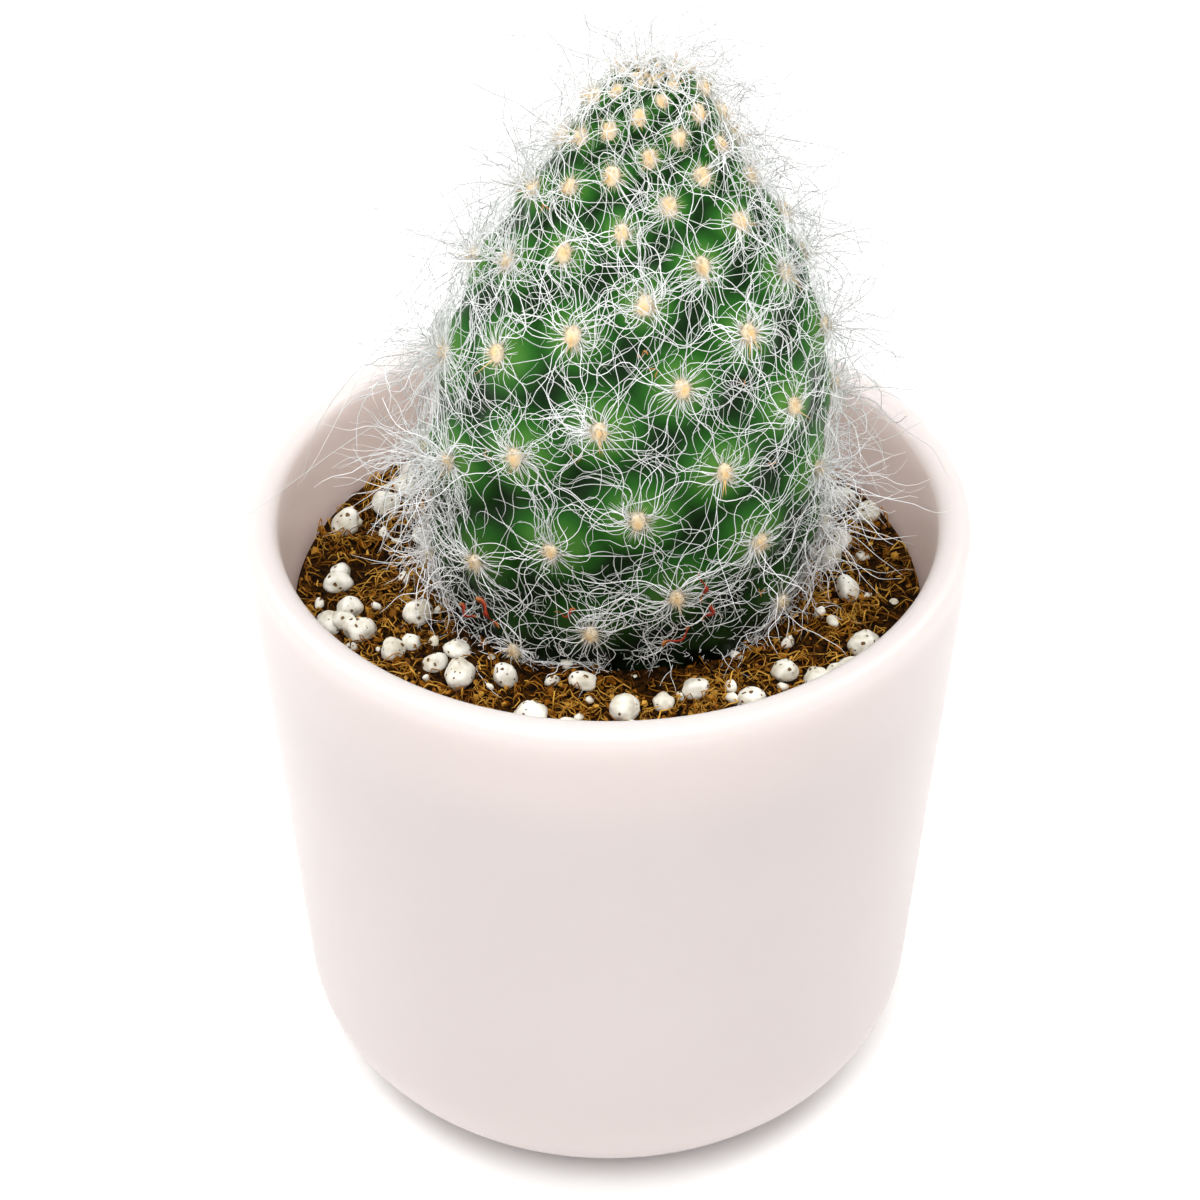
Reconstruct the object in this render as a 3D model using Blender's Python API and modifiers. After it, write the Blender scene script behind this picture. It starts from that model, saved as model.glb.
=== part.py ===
# A woolly prickly pear in a glazed ceramic pot, standing on its foot ring.
# Metres, +Z up. The origin is on the pot's axis, at the plane that the foot ring stands on.
import math
import random

import bpy
import bmesh
import numpy as np
from mathutils import Matrix, Vector, noise

MM = 0.001
CLEARANCE = 0.3 * MM        # gap between pieces that touch on the real thing

# Pot: a cast and glazed beaker, slightly tapered, with a rounded lower edge
POT_HEIGHT = 73.4 * MM
RIM_RADIUS = 40.0 * MM
RIM_WIDTH = 3.7 * MM
RIM_EDGE_RADIUS = 1.1 * MM
FOOT_SIDE_RADIUS = 35.7 * MM    # where the straight wall would meet the table
FOOT_CORNER_RADIUS = 12.4 * MM
FOOT_RING_WIDTH = 3.0 * MM
FOOT_RECESS = 1.2 * MM
FLOOR_TOP = 6.2 * MM
INNER_FLOOR_RADIUS = 31.0 * MM  # where the inner wall would meet the floor
INNER_CORNER_RADIUS = 9.0 * MM
DRAIN_RADIUS = 4.0 * MM
POT_STEPS = 48

# Soil: a plug of fibrous compost, with round white granules half sunk in its top
SOIL_LEVEL = 61.0 * MM
SOIL_LUMP = 1.4 * MM
SOIL_LUMP_SIZE = 7.0 * MM
SOIL_FLAT_REACH = 3.0 * MM      # the lumps fade out this near the stem
SOIL_INNER_RING = 14.0 * MM
SOIL_RINGS = 6
GRANULE_COUNT = 56
GRANULE_RADIUS = (1.35 * MM, 1.95 * MM)
GRANULE_SINK = 0.35             # height of its centre above the soil, over its radius
GRANULE_SPACING = 1.06          # centre distance over the sum of two radii
GRANULE_INNERMOST = 0.25        # square of the least distance from the axis, over the greatest
GRANULE_SEED = 5

# Stem: one thick pad, oval in plan. Heights above the soil and half widths, in millimetres,
# of the corners that its outline rounds off, from the middle of its butt to its tip
STEM_CORNERS = (
    (-16.0, 0.0), (-16.0, 8.0), (-12.0, 14.5), (-4.0, 18.2), (6.0, 20.0), (20.0, 20.4),
    (35.0, 19.1), (47.5, 13.3), (56.5, 7.7), (62.0, 5.4), (64.2, 3.8), (64.3, 0.0),
)
STEM_ROUNDS = 3                 # times that the corners are cut
STEM_HEIGHT = 64.3 * MM
STEM_THICKNESS = 0.80           # front to back over side to side
STEM_FOOT = Vector((1.2 * MM, 2.5 * MM))
STEM_LEAN = Vector((3.4 * MM, 0.0))     # the top's shift from the foot
STEM_SIDES = 44
STEM_RINGS = 28

# Areoles: one spiral up the stem, which gives 5, 6 and 11 slanting rows
AREOLE_TURN = -66.725           # degrees round the stem from one to the next
AREOLE_FIRST_TURN = 137.4
AREOLE_FIRST_HEIGHT = -5.1 * MM
AREOLE_RISE = 0.958 * MM        # along the stem, where it is widest
AREOLE_CROWDING = 0.78         # power of the local half width
AREOLE_LOWEST = 2.8 * MM        # height above the soil of the lowest one that has a tuft
AREOLE_TOP_GAP = 1.2 * MM
TUBERCLE_RELIEF = 0.17          # height over the spacing of the tubercles
TUBERCLE_REACH = 0.72           # reach over that spacing
TUBERCLE_BURIED_FADE = 3.0 * MM
TUFT_SIDES = 5
TUFT_RADIUS = 0.24              # over the spacing
TUFT_SMALLEST = 1.4 * MM
TUFT_HEIGHT = 1.25              # from its sunk base to its top, over its radius

# Hairs, which are the plant's spines grown long and soft, at a fraction of their real number.
# A hair of the real width would be lost, so they are thicker than life
HAIRS_EACH = 3
HAIR_RADIUS = 0.32 * MM
HAIR_LENGTH = (9.0 * MM, 14.0 * MM)
HAIR_LONG_EVERY = 7
HAIR_LONG_RATIO = 1.5
HAIR_LEAN = (0.45, 1.15)        # radians from the areole's normal
HAIR_BEND = 0.5                 # where along it a hair turns
HAIR_CURL = 0.55                # how far it then goes sideways, over its length
HAIR_SAG = 0.35                 # and down, at most
HAIR_LOWEST = SOIL_LEVEL + 4.2 * MM
HAIR_WALL_GAP = 2.0 * MM
HAIR_RIM_GAP = 1.0 * MM
HAIR_SEED = 11


def clear_scene():
    for old in list(bpy.data.objects):
        bpy.data.objects.remove(old, do_unlink=True)


def new_collection(name, parent):
    made = bpy.data.collections.new(name)
    parent.children.link(made)
    return made


def new_material(name, colour, roughness, coat=0.0):
    material = bpy.data.materials.new(name)
    material.use_nodes = True
    shader = material.node_tree.nodes["Principled BSDF"]
    shader.inputs["Base Color"].default_value = (*colour, 1.0)
    shader.inputs["Roughness"].default_value = roughness
    shader.inputs["Metallic"].default_value = 0.0
    shader.inputs["Coat Weight"].default_value = coat
    material.diffuse_color = (*colour, 1.0)
    return material


def new_object(name, mesh, collection, material=None):
    made = bpy.data.objects.new(name, mesh)
    collection.objects.link(made)
    if material:
        mesh.materials.clear()
        mesh.materials.append(material)
    return made


def shape_mesh(name, shaper):
    mesh = bpy.data.meshes.new(name)
    shaper.to_mesh(mesh)
    shaper.free()
    return mesh


def applied_mesh(obj):
    graph = bpy.context.evaluated_depsgraph_get()
    return bpy.data.meshes.new_from_object(obj.evaluated_get(graph))


def arc(centre, radius, start, end, steps):
    # Points of an arc in the (radius, height) plane, angles in degrees
    angles = np.radians(np.linspace(start, end, steps + 1))
    return [(centre[0] + radius * math.cos(a), centre[1] + radius * math.sin(a)) for a in angles]


def turned(name, outline, collection, closed):
    # A solid of revolution about Z, from an outline that runs down its outer side
    mesh = bpy.data.meshes.new(name)
    count = len(outline)
    edges = [(i, (i + 1) % count) for i in range(count if closed else count - 1)]
    mesh.from_pydata([(r, 0.0, z) for r, z in outline], edges, [])
    made = new_object(name, mesh, collection)
    screw = made.modifiers.new("turn", "SCREW")
    screw.axis = "Z"
    screw.angle = 2.0 * math.pi
    screw.steps = screw.render_steps = POT_STEPS
    screw.use_merge_vertices = True
    screw.merge_threshold = 0.01 * MM
    screw.use_smooth_shade = True
    return made


def inner_radius(height):
    rim_inside = RIM_RADIUS - RIM_WIDTH
    share = (height - FLOOR_TOP) / (POT_HEIGHT - FLOOR_TOP)
    return INNER_FLOOR_RADIUS + (rim_inside - INNER_FLOOR_RADIUS) * share


def inner_lean():
    rise = POT_HEIGHT - FLOOR_TOP
    return math.degrees(math.atan2(RIM_RADIUS - RIM_WIDTH - INNER_FLOOR_RADIUS, rise))


def build_pot(collection, glaze):
    lean = math.degrees(math.atan2(RIM_RADIUS - FOOT_SIDE_RADIUS, POT_HEIGHT))
    edge = RIM_EDGE_RADIUS
    ring_outside = FOOT_SIDE_RADIUS - FOOT_CORNER_RADIUS
    ring_inside = ring_outside - FOOT_RING_WIDTH
    inner_corner = (INNER_FLOOR_RADIUS - INNER_CORNER_RADIUS, FLOOR_TOP + INNER_CORNER_RADIUS)
    rim_inside = RIM_RADIUS - RIM_WIDTH + edge
    outline = arc((RIM_RADIUS - edge, POT_HEIGHT - edge), edge, 90, -lean, 3)
    outline += arc((ring_outside, FOOT_CORNER_RADIUS), FOOT_CORNER_RADIUS, -lean, -90, 7)
    outline += [(ring_inside, 0.0), (ring_inside - FOOT_RECESS, FOOT_RECESS), (DRAIN_RADIUS, FOOT_RECESS)]
    outline += [(DRAIN_RADIUS, FLOOR_TOP)]
    outline += arc(inner_corner, INNER_CORNER_RADIUS, -90, -inner_lean(), 4)
    outline += arc((rim_inside, POT_HEIGHT - edge), edge, 180 - inner_lean(), 90, 3)
    pot = turned("pot", outline, collection, closed=True)
    pot.data.materials.append(glaze)


def rounded(corners, rounds):
    # Corner cutting, with both ends kept
    points = list(corners)
    for _ in range(rounds):
        cut = [points[0]]
        for (x0, y0), (x1, y1) in zip(points, points[1:]):
            cut.append((0.75 * x0 + 0.25 * x1, 0.75 * y0 + 0.25 * y1))
            cut.append((0.25 * x0 + 0.75 * x1, 0.25 * y0 + 0.75 * y1))
        points = cut + [points[-1]]
    return points


class Stem:
    # The smooth stem. A place on it is a distance along its side from the butt, and a turn in degrees

    def __init__(self):
        outline = np.array(rounded(STEM_CORNERS, STEM_ROUNDS)) * MM
        steps = np.hypot(np.diff(outline[:, 0]), np.diff(outline[:, 1]))
        self.along = np.concatenate([[0.0], np.cumsum(steps)])
        self.heights, self.widths = outline[:, 0], outline[:, 1]
        self.length = float(self.along[-1])
        self.widest = float(self.widths.max())
        around = np.linspace(-math.pi, math.pi, 721)
        rates = np.hypot(np.cos(around), STEM_THICKNESS * np.sin(around))
        lengths = np.concatenate([[0.0], np.cumsum((rates[1:] + rates[:-1]) / 2)])
        self.around, self.shares = around, lengths / lengths[-1]
        self.girth_ratio = 2.0 * math.pi * float(rates.mean())

    def width(self, along):
        return float(np.interp(along, self.along, self.widths))

    def height(self, along):
        return float(np.interp(along, self.along, self.heights))

    def girth(self, along):
        return self.girth_ratio * self.width(along)

    def along_at(self, height):
        side = self.heights > self.heights[0] + 0.01 * MM
        return float(np.interp(height, self.heights[side], self.along[side]))

    def angle(self, turn):
        # Equal turns are equal steps along the girth, and turn 0 faces -Y
        share = (turn / 360.0 + 0.5) % 1.0
        return float(np.interp(share, self.shares, self.around))

    def point(self, along, turn, lift=0.0):
        width, height, angle = self.width(along), self.height(along), self.angle(turn)
        centre = STEM_FOOT + STEM_LEAN * max(height, 0.0) / STEM_HEIGHT
        x = centre.x + width * math.sin(angle)
        y = centre.y - STEM_THICKNESS * width * math.cos(angle)
        return Vector((x, y, SOIL_LEVEL + height)) + lift * self.normal(along, turn)

    def normal(self, along, turn):
        # Square to the oval in plan, tipped by the outline's slope
        step = 0.8 * MM
        low, high = max(along - step, 0.0), min(along + step, self.length)
        rise, spread = self.height(high) - self.height(low), self.width(high) - self.width(low)
        angle = self.angle(turn)
        outward = Vector((math.sin(angle) * STEM_THICKNESS, -math.cos(angle), 0.0)).normalized()
        return (outward * rise - Vector((0.0, 0.0, spread))).normalized()


def areole_places(stem):
    # Distance along, turn and spacing of each areole, from the lowest to the crown
    places = []
    along = stem.along_at(AREOLE_FIRST_HEIGHT)
    turn = AREOLE_FIRST_TURN
    while along < stem.length - AREOLE_TOP_GAP:
        rise = AREOLE_RISE * (stem.width(along) / stem.widest) ** AREOLE_CROWDING
        places.append((along, turn, math.sqrt(rise * stem.girth(along))))
        along += rise
        turn += AREOLE_TURN
    return places


def tubercle_lift(stem, places, along, turn):
    # Height above the smooth stem of the highest mound that reaches this place
    best = 0.0
    girth = stem.girth(along)
    for place, place_turn, spacing in places:
        if abs(place - along) < spacing:
            sideways = ((turn - place_turn + 180.0) % 360.0 - 180.0) / 360.0 * girth
            reach = math.hypot(place - along, sideways) / (TUBERCLE_REACH * spacing)
            best = max(best, TUBERCLE_RELIEF * spacing * (1.0 - reach * reach))
    fade = 1.5 + stem.height(along) / TUBERCLE_BURIED_FADE
    return best * min(1.0, max(0.0, fade))


def stem_mesh(name, stem, places, extra):
    # A sphere whose rings are moved onto the stem, with the tubercles raised from it. Its faces
    # are split alike in the stem and in the socket around it, so that the gap between them holds
    shaper = bmesh.new()
    bmesh.ops.create_uvsphere(shaper, u_segments=STEM_SIDES, v_segments=STEM_RINGS, radius=1.0)
    for vert in shaper.verts:
        share = math.acos(max(-1.0, min(1.0, -vert.co.z))) / math.pi
        along = share * stem.length
        turn = math.degrees(math.atan2(vert.co.x, -vert.co.y))
        at_pole = min(share, 1.0 - share) < 0.5 / STEM_RINGS
        lift = 0.0 if at_pole else tubercle_lift(stem, places, along, turn)
        vert.co = stem.point(along, turn, lift + extra)
    bmesh.ops.triangulate(shaper, faces=shaper.faces[:], quad_method="FIXED")
    mesh = shape_mesh(name, shaper)
    mesh.shade_smooth()
    return mesh


def tuft_mesh(stem, place, turn, spacing, lift):
    # A low cone of felt, whose base is sunk in the top of its tubercle
    radius = max(TUFT_RADIUS * spacing, TUFT_SMALLEST)
    shaper = bmesh.new()
    bmesh.ops.create_cone(
        shaper, cap_ends=True, segments=TUFT_SIDES, radius1=radius, radius2=0.0, depth=TUFT_HEIGHT * radius
    )
    frame = stem.normal(place, turn).to_track_quat("Z", "Y").to_matrix().to_4x4()
    shaper.transform(Matrix.Translation(stem.point(place, turn, lift)) @ frame)
    return shape_mesh("tuft", shaper)


def hair_mesh(root, bend, tip):
    # A three-sided needle, cut across at its middle and bent along root, bend and tip
    shaper = bmesh.new()
    bmesh.ops.create_cone(shaper, cap_ends=True, segments=3, radius1=HAIR_RADIUS, radius2=0.0, depth=1.0)
    everything = shaper.verts[:] + shaper.edges[:] + shaper.faces[:]
    bmesh.ops.bisect_plane(shaper, geom=everything, plane_co=(0.0, 0.0, 0.0), plane_no=(0.0, 0.0, 1.0))
    start = (bend - root).normalized()
    upright = start.to_track_quat("Z", "Y")
    for vert in shaper.verts:
        share = vert.co.z + 0.5
        middle = root.lerp(bend, share).lerp(bend.lerp(tip, share), share)
        heading = (bend - root).lerp(tip - bend, share).normalized()
        aside = upright @ Vector((vert.co.x, vert.co.y, 0.0))
        vert.co = middle + start.rotation_difference(heading) @ aside
    return shape_mesh("hair", shaper)


def kept_clear(place):
    # Moved up off the soil and its granules, and in from the pot's wall or rim
    height = max(place.z, HAIR_LOWEST)
    limit = inner_radius(HAIR_LOWEST) - HAIR_WALL_GAP
    if height > POT_HEIGHT + HAIR_RIM_GAP:
        limit = RIM_RADIUS - HAIR_RIM_GAP
    inward = min(1.0, limit / math.hypot(place.x, place.y))
    return Vector((place.x * inward, place.y * inward, height))


def hair_path(stem, place, turn, lift, spin, length, draw):
    # Out of the tuft, leaning to one side, and sagging towards the tip
    root = stem.point(place, turn, lift)
    normal = stem.normal(place, turn)
    across = normal.orthogonal().normalized()
    side = across * math.cos(spin) + normal.cross(across) * math.sin(spin)
    lean = draw.uniform(*HAIR_LEAN)
    heading = normal * math.cos(lean) + side * math.sin(lean)
    curl = normal.cross(side) * draw.choice((-1.0, 1.0)) * HAIR_CURL
    sag = Vector((0.0, 0.0, -draw.uniform(0.0, HAIR_SAG)))
    bend = root + heading * HAIR_BEND * length
    tip = bend + (heading * (1.0 - HAIR_BEND) + curl + sag).normalized() * (1.0 - HAIR_BEND) * length
    return root, kept_clear(bend), kept_clear(tip)


def union_with(obj, helpers):
    # Joins the collection's objects into obj, applies the join and removes them
    joiner = obj.modifiers.new("join", "BOOLEAN")
    joiner.operation = "UNION"
    joiner.operand_type = "COLLECTION"
    joiner.collection = helpers
    joiner.solver = "EXACT"
    mesh = applied_mesh(obj)
    obj.modifiers.clear()
    obj.data = mesh
    keep_largest_piece(mesh)
    for helper in list(helpers.objects):
        bpy.data.objects.remove(helper, do_unlink=True)
    bpy.data.collections.remove(helpers)


def keep_largest_piece(mesh):
    # Drops loose scraps, and fills hollows that the join has sealed in
    shaper = bmesh.new()
    shaper.from_mesh(mesh)
    unseen = set(shaper.verts)
    pieces = []
    while unseen:
        piece = {unseen.pop()}
        edge = list(piece)
        while edge:
            vert = edge.pop()
            near = {link.other_vert(vert) for link in vert.link_edges} & unseen
            unseen -= near
            piece |= near
            edge += near
        pieces.append(piece)
    largest = max(pieces, key=len)
    scraps = [vert for vert in shaper.verts if vert not in largest]
    bmesh.ops.delete(shaper, geom=scraps, context="VERTS")
    shaper.to_mesh(mesh)
    shaper.free()


def build_cactus(collection, scene_root, stem, places, skin):
    cactus = new_object("cactus", stem_mesh("cactus", stem, places, 0.0), collection, skin)
    helpers = new_collection("tufts_and_hairs", scene_root)
    draw = random.Random(HAIR_SEED)
    grown = 0
    for place, turn, spacing in places:
        if stem.height(place) < AREOLE_LOWEST:
            continue
        lift = tubercle_lift(stem, places, place, turn)
        new_object("tuft", tuft_mesh(stem, place, turn, spacing, lift), helpers)
        first_spin = draw.uniform(0.0, 2.0 * math.pi)
        for k in range(HAIRS_EACH):
            grown += 1
            spin = first_spin + 2.0 * math.pi * k / HAIRS_EACH
            length = draw.uniform(*HAIR_LENGTH)
            if grown % HAIR_LONG_EVERY == 0:
                length *= HAIR_LONG_RATIO
            path = hair_path(stem, place, turn, lift, spin, length, draw)
            new_object("hair", hair_mesh(*path), helpers)
    union_with(cactus, helpers)


def stem_distance(stem, x, y):
    # How far a place on the soil is from the stem, as if the oval were stretched round
    width = stem.width(stem.along_at(0.0))
    away = math.hypot(x - STEM_FOOT.x, (y - STEM_FOOT.y) / STEM_THICKNESS)
    return away - width


def soil_height(stem, x, y):
    fade = min(1.0, max(0.0, stem_distance(stem, x, y) / SOIL_FLAT_REACH))
    return SOIL_LEVEL + fade * SOIL_LUMP * noise.noise(Vector((x, y, 0.0)) / SOIL_LUMP_SIZE)


def granule_places(stem):
    # Seeded darts on the ring of soil between the stem and the pot
    draw = random.Random(GRANULE_SEED)
    found = []
    while len(found) < GRANULE_COUNT:
        radius = draw.uniform(*GRANULE_RADIUS)
        turn = draw.uniform(0.0, 2.0 * math.pi)
        reach = inner_radius(SOIL_LEVEL) - 2.0 * CLEARANCE - radius
        distance = reach * math.sqrt(draw.uniform(GRANULE_INNERMOST, 1.0))
        x, y = distance * math.sin(turn), -distance * math.cos(turn)
        clear = stem_distance(stem, x, y) > SOIL_FLAT_REACH + radius
        apart = all(math.hypot(x - a, y - b) > GRANULE_SPACING * (radius + c) for a, b, c in found)
        if clear and apart:
            found.append((x, y, radius))
    return found


def soil_plug(stem, collection, compost):
    corner = (INNER_FLOOR_RADIUS - INNER_CORNER_RADIUS, FLOOR_TOP + INNER_CORNER_RADIUS)
    edge = inner_radius(SOIL_LEVEL) - CLEARANCE
    outline = [(0.0, SOIL_LEVEL)]
    outline += [(r, SOIL_LEVEL) for r in np.linspace(SOIL_INNER_RING, edge, SOIL_RINGS)]
    outline += arc(corner, INNER_CORNER_RADIUS - CLEARANCE, -inner_lean(), -90, 3)
    outline += [(0.0, FLOOR_TOP + CLEARANCE)]
    blank = turned("soil_blank", outline, collection, closed=False)
    soil = new_object("soil", applied_mesh(blank), collection, compost)
    bpy.data.objects.remove(blank, do_unlink=True)
    for vert in soil.data.vertices:
        if vert.co.z > SOIL_LEVEL - 0.01 * MM:
            vert.co.z = soil_height(stem, vert.co.x, vert.co.y)
    return soil


def build_soil(collection, scene_root, cutters, stem, places, compost):
    soil = soil_plug(stem, collection, compost)
    socket = new_object("stem_socket", stem_mesh("stem_socket", stem, places, CLEARANCE), cutters)
    socket.hide_render = True
    socket.display_type = "WIRE"
    cut = soil.modifiers.new("socket", "BOOLEAN")
    cut.operation = "DIFFERENCE"
    cut.object = socket
    cut.solver = "EXACT"
    mesh = applied_mesh(soil)
    soil.modifiers.clear()
    soil.data = mesh
    bpy.data.objects.remove(socket, do_unlink=True)
    helpers = new_collection("granules", scene_root)
    for x, y, radius in granule_places(stem):
        shaper = bmesh.new()
        bmesh.ops.create_icosphere(shaper, subdivisions=1, radius=radius)
        centre = Vector((x, y, soil_height(stem, x, y) + GRANULE_SINK * radius))
        bmesh.ops.translate(shaper, verts=shaper.verts, vec=centre)
        new_object("granule", shape_mesh("granule", shaper), helpers)
    union_with(soil, helpers)


def main():
    clear_scene()
    root = bpy.context.scene.collection
    collection = new_collection("potted_prickly_pear", root)
    cutters = new_collection("cutters", root)
    glaze = new_material("glazed_ceramic", (0.80, 0.73, 0.71), 0.25, coat=0.5)
    compost = new_material("fibrous_compost", (0.17, 0.09, 0.03), 0.95)
    skin = new_material("cactus_skin", (0.05, 0.20, 0.04), 0.5)
    stem = Stem()
    places = areole_places(stem)
    build_pot(collection, glaze)
    build_soil(collection, root, cutters, stem, places, compost)
    build_cactus(collection, root, stem, places, skin)


main()
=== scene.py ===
# Woolly prickly pear in a glazed pot: every surface that shows, with its floor, lights and camera.
# Lengths are in metres, so the values given in millimetres are multiplied by mm.
import math
import random

import bpy
import numpy as np
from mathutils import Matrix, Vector, noise


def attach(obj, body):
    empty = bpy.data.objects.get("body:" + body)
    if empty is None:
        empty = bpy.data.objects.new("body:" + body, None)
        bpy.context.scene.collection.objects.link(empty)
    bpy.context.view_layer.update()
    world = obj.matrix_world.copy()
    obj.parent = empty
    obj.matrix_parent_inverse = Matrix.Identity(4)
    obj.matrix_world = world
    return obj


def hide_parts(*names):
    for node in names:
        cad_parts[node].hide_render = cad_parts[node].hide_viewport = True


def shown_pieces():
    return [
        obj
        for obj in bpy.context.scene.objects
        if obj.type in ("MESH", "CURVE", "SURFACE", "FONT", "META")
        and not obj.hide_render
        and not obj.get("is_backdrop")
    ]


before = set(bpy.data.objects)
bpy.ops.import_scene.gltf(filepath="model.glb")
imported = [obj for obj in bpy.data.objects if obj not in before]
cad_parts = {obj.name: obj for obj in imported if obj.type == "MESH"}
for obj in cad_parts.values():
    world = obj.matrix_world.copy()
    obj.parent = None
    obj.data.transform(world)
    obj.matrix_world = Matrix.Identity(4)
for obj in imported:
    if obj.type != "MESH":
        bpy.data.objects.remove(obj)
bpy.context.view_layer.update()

mm = 0.001
fullTurn = 2 * math.pi
scene = bpy.context.scene
scene.view_settings.view_transform = "Standard"   # keeps the greens and the blush as they are set


def say(text):
    print("potted prickly pear:", text)


# Materials
def linear(hexColour):
    # sRGB hex value to the linear colour that shaders want
    parts = [int(hexColour[i:i + 2], 16) / 255 for i in (1, 3, 5)]
    return tuple(c / 12.92 if c <= 0.04045 else ((c + 0.055) / 1.055) ** 2.4 for c in parts) + (1.0,)


def newMaterial(name, **values):
    # a Principled material with its constants set on the shader's own sockets
    made = bpy.data.materials.new(name)
    made.use_nodes = True
    shader = made.node_tree.nodes["Principled BSDF"]
    for socket, value in values.items():
        shader.inputs[socket.replace("_", " ")].default_value = value
    return made, shader


def addNode(material, kind, links=None, values=None, stops=(), out=0, **settings):
    # a node with its settings, values and links; stops are a colour ramp's places and colours, and
    # out is the output that is handed back
    made = material.node_tree.nodes.new("ShaderNode" + kind)
    for name, value in settings.items():
        setattr(made, name, value)
    for socket, value in (values or {}).items():
        made.inputs[socket].default_value = value
    for socket, source in (links or {}).items():
        material.node_tree.links.new(source, made.inputs[socket])
    points = made.color_ramp.elements if stops else ()
    while len(points) < len(stops):
        points.new(0.5)
    for point, (place, colour) in zip(points, stops):
        point.position = place
        point.color = linear(colour)
    return made.outputs[out]


def connect(material, shader, **sources):
    for socket, source in sources.items():
        material.node_tree.links.new(source, shader.inputs[socket.replace("_", " ")])


def tintMaterial(name, stops, **values):
    # coloured by the tint that a mesh holds for each point
    made, shader = newMaterial(name, **values)
    tint = addNode(made, "Attribute", out="Fac", attribute_name="tint")
    connect(made, shader, Base_Color=addNode(made, "ValToRGB", {"Fac": tint}, stops=stops))
    return made


# Directions, for whole arrays of vectors at once
def unit(vectors):
    return vectors / np.maximum(np.linalg.norm(vectors, axis=-1, keepdims=True), 1e-12)


def turned(vectors, axis, angle):
    # vectors turned about an axis that is square to them
    return vectors * np.cos(angle)[:, None] + np.cross(axis, vectors) * np.sin(angle)[:, None]


def leaned(out, along, angle):
    # from the way out of a surface towards a way along it
    return out * np.cos(angle)[:, None] + along * np.sin(angle)[:, None]


def squareTo(axis, vectors):
    # what is left of vectors across an axis
    return unit(vectors - (vectors * axis).sum(1, keepdims=True) * axis)


def uphill(normal):
    # the steepest way up along a surface
    return unit(np.array([0, 0, 1.0]) - normal * normal[:, 2:3])


def straight(start, heading, length, shares):
    # points along a line from each start
    return start[:, None] + heading[:, None] * (length[:, None] * shares)[..., None]


def waves(rng, count, bands):
    # a smooth wobble for each strand: amplitude, wavelength and phase of each band
    return [[size * rng.uniform(0.5, 1.4, count), rng.uniform(short, long, count),
             rng.uniform(0, fullTurn, count)] for size, (short, long) in bands]


def wobble(bands, travelled):
    return sum(a * (np.sin(fullTurn * travelled / w + p) - np.sin(p)) for a, w, p in bands)


# Meshes
def nothingSelected():
    if bpy.context.object and bpy.context.object.mode != "OBJECT":
        bpy.ops.object.mode_set(mode="OBJECT")
    bpy.ops.object.select_all(action="DESELECT")


def readPoints(mesh):
    flat = np.empty(len(mesh.vertices) * 3, np.float32)
    mesh.vertices.foreach_get("co", flat)
    return flat.reshape(-1, 3).astype(float)


def writePoints(mesh, points):
    mesh.vertices.foreach_set("co", np.ascontiguousarray(points, np.float32).ravel())
    mesh.update()


def storeValues(mesh, name, values):
    # one number for each point, which a material reads
    stored = mesh.attributes.new(name, "FLOAT", "POINT")
    stored.data.foreach_set("value", np.ascontiguousarray(values, np.float32))


def tintedPiece(mesh, tints):
    storeValues(mesh, "tint", tints)
    mesh.shade_smooth()
    piece = bpy.data.objects.new("piece", mesh)
    scene.collection.objects.link(piece)
    return piece


def finishPiece(piece, name, material, slot, *nodes):
    # place baked into the mesh, one material, riding on the only body
    piece.name = name
    piece.data.name = name
    piece.data.transform(piece.matrix_basis)
    piece.matrix_basis.identity()
    piece.data.materials.clear()
    piece.data.materials.append(material)
    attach(piece, "root")
    if nodes:
        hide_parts(*nodes)


def arcPoints(centre, radius, start, end, steps):
    angles = np.radians(np.linspace(start, end, steps + 1))
    return [(centre[0] + radius * math.cos(a), centre[1] + radius * math.sin(a)) for a in angles]


def wallPoints(start, end, steps):
    # evenly spaced points between two ends, without the ends
    shares = np.linspace(0, 1, steps + 1)[1:-1]
    return [(start[0] + (end[0] - start[0]) * s, start[1] + (end[1] - start[1]) * s) for s in shares]


def spun(outline, steps):
    # one vertex, extruded along the outline and spun round the upright axis
    nothingSelected()
    bpy.ops.mesh.primitive_plane_add(size=mm, location=(outline[0][0], 0, outline[0][1]))
    bpy.ops.object.mode_set(mode="EDIT")
    bpy.ops.mesh.select_all(action="SELECT")
    bpy.ops.mesh.merge(type="CENTER")
    for (r0, z0), (r1, z1) in zip(outline, outline[1:]):
        bpy.ops.mesh.extrude_region_move(TRANSFORM_OT_translate={"value": (r1 - r0, 0, z1 - z0)})
    bpy.ops.mesh.select_all(action="SELECT")
    bpy.ops.mesh.spin(steps=steps, angle=fullTurn, center=(0, 0, 0), axis=(0, 0, 1))
    bpy.ops.mesh.select_all(action="SELECT")
    bpy.ops.mesh.remove_doubles(threshold=0.002 * mm)
    bpy.ops.mesh.normals_make_consistent(inside=False)
    bpy.ops.object.mode_set(mode="OBJECT")
    bpy.ops.object.shade_smooth_by_angle(angle=math.radians(40))
    return bpy.context.object


def roundBall(subdivisions):
    # corners and triangles of a ball, to be shaped and copied
    nothingSelected()
    bpy.ops.mesh.primitive_ico_sphere_add(subdivisions=subdivisions, radius=1)
    model = bpy.context.object
    ball, faces = readPoints(model.data), np.array([p.vertices[:] for p in model.data.polygons])
    bpy.data.objects.remove(model)
    return ball, faces


def copiedBalls(shells, faces, tints):
    # one piece of many shaped balls: shells is (balls, corners, 3)
    balls, corners = shells.shape[:2]
    mesh = bpy.data.meshes.new("piece")
    triangles = (faces[None] + np.arange(balls)[:, None, None] * corners).reshape(-1, 3)
    mesh.from_pydata(shells.reshape(-1, 3).tolist(), [], triangles.tolist())
    return tintedPiece(mesh, tints)


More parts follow.
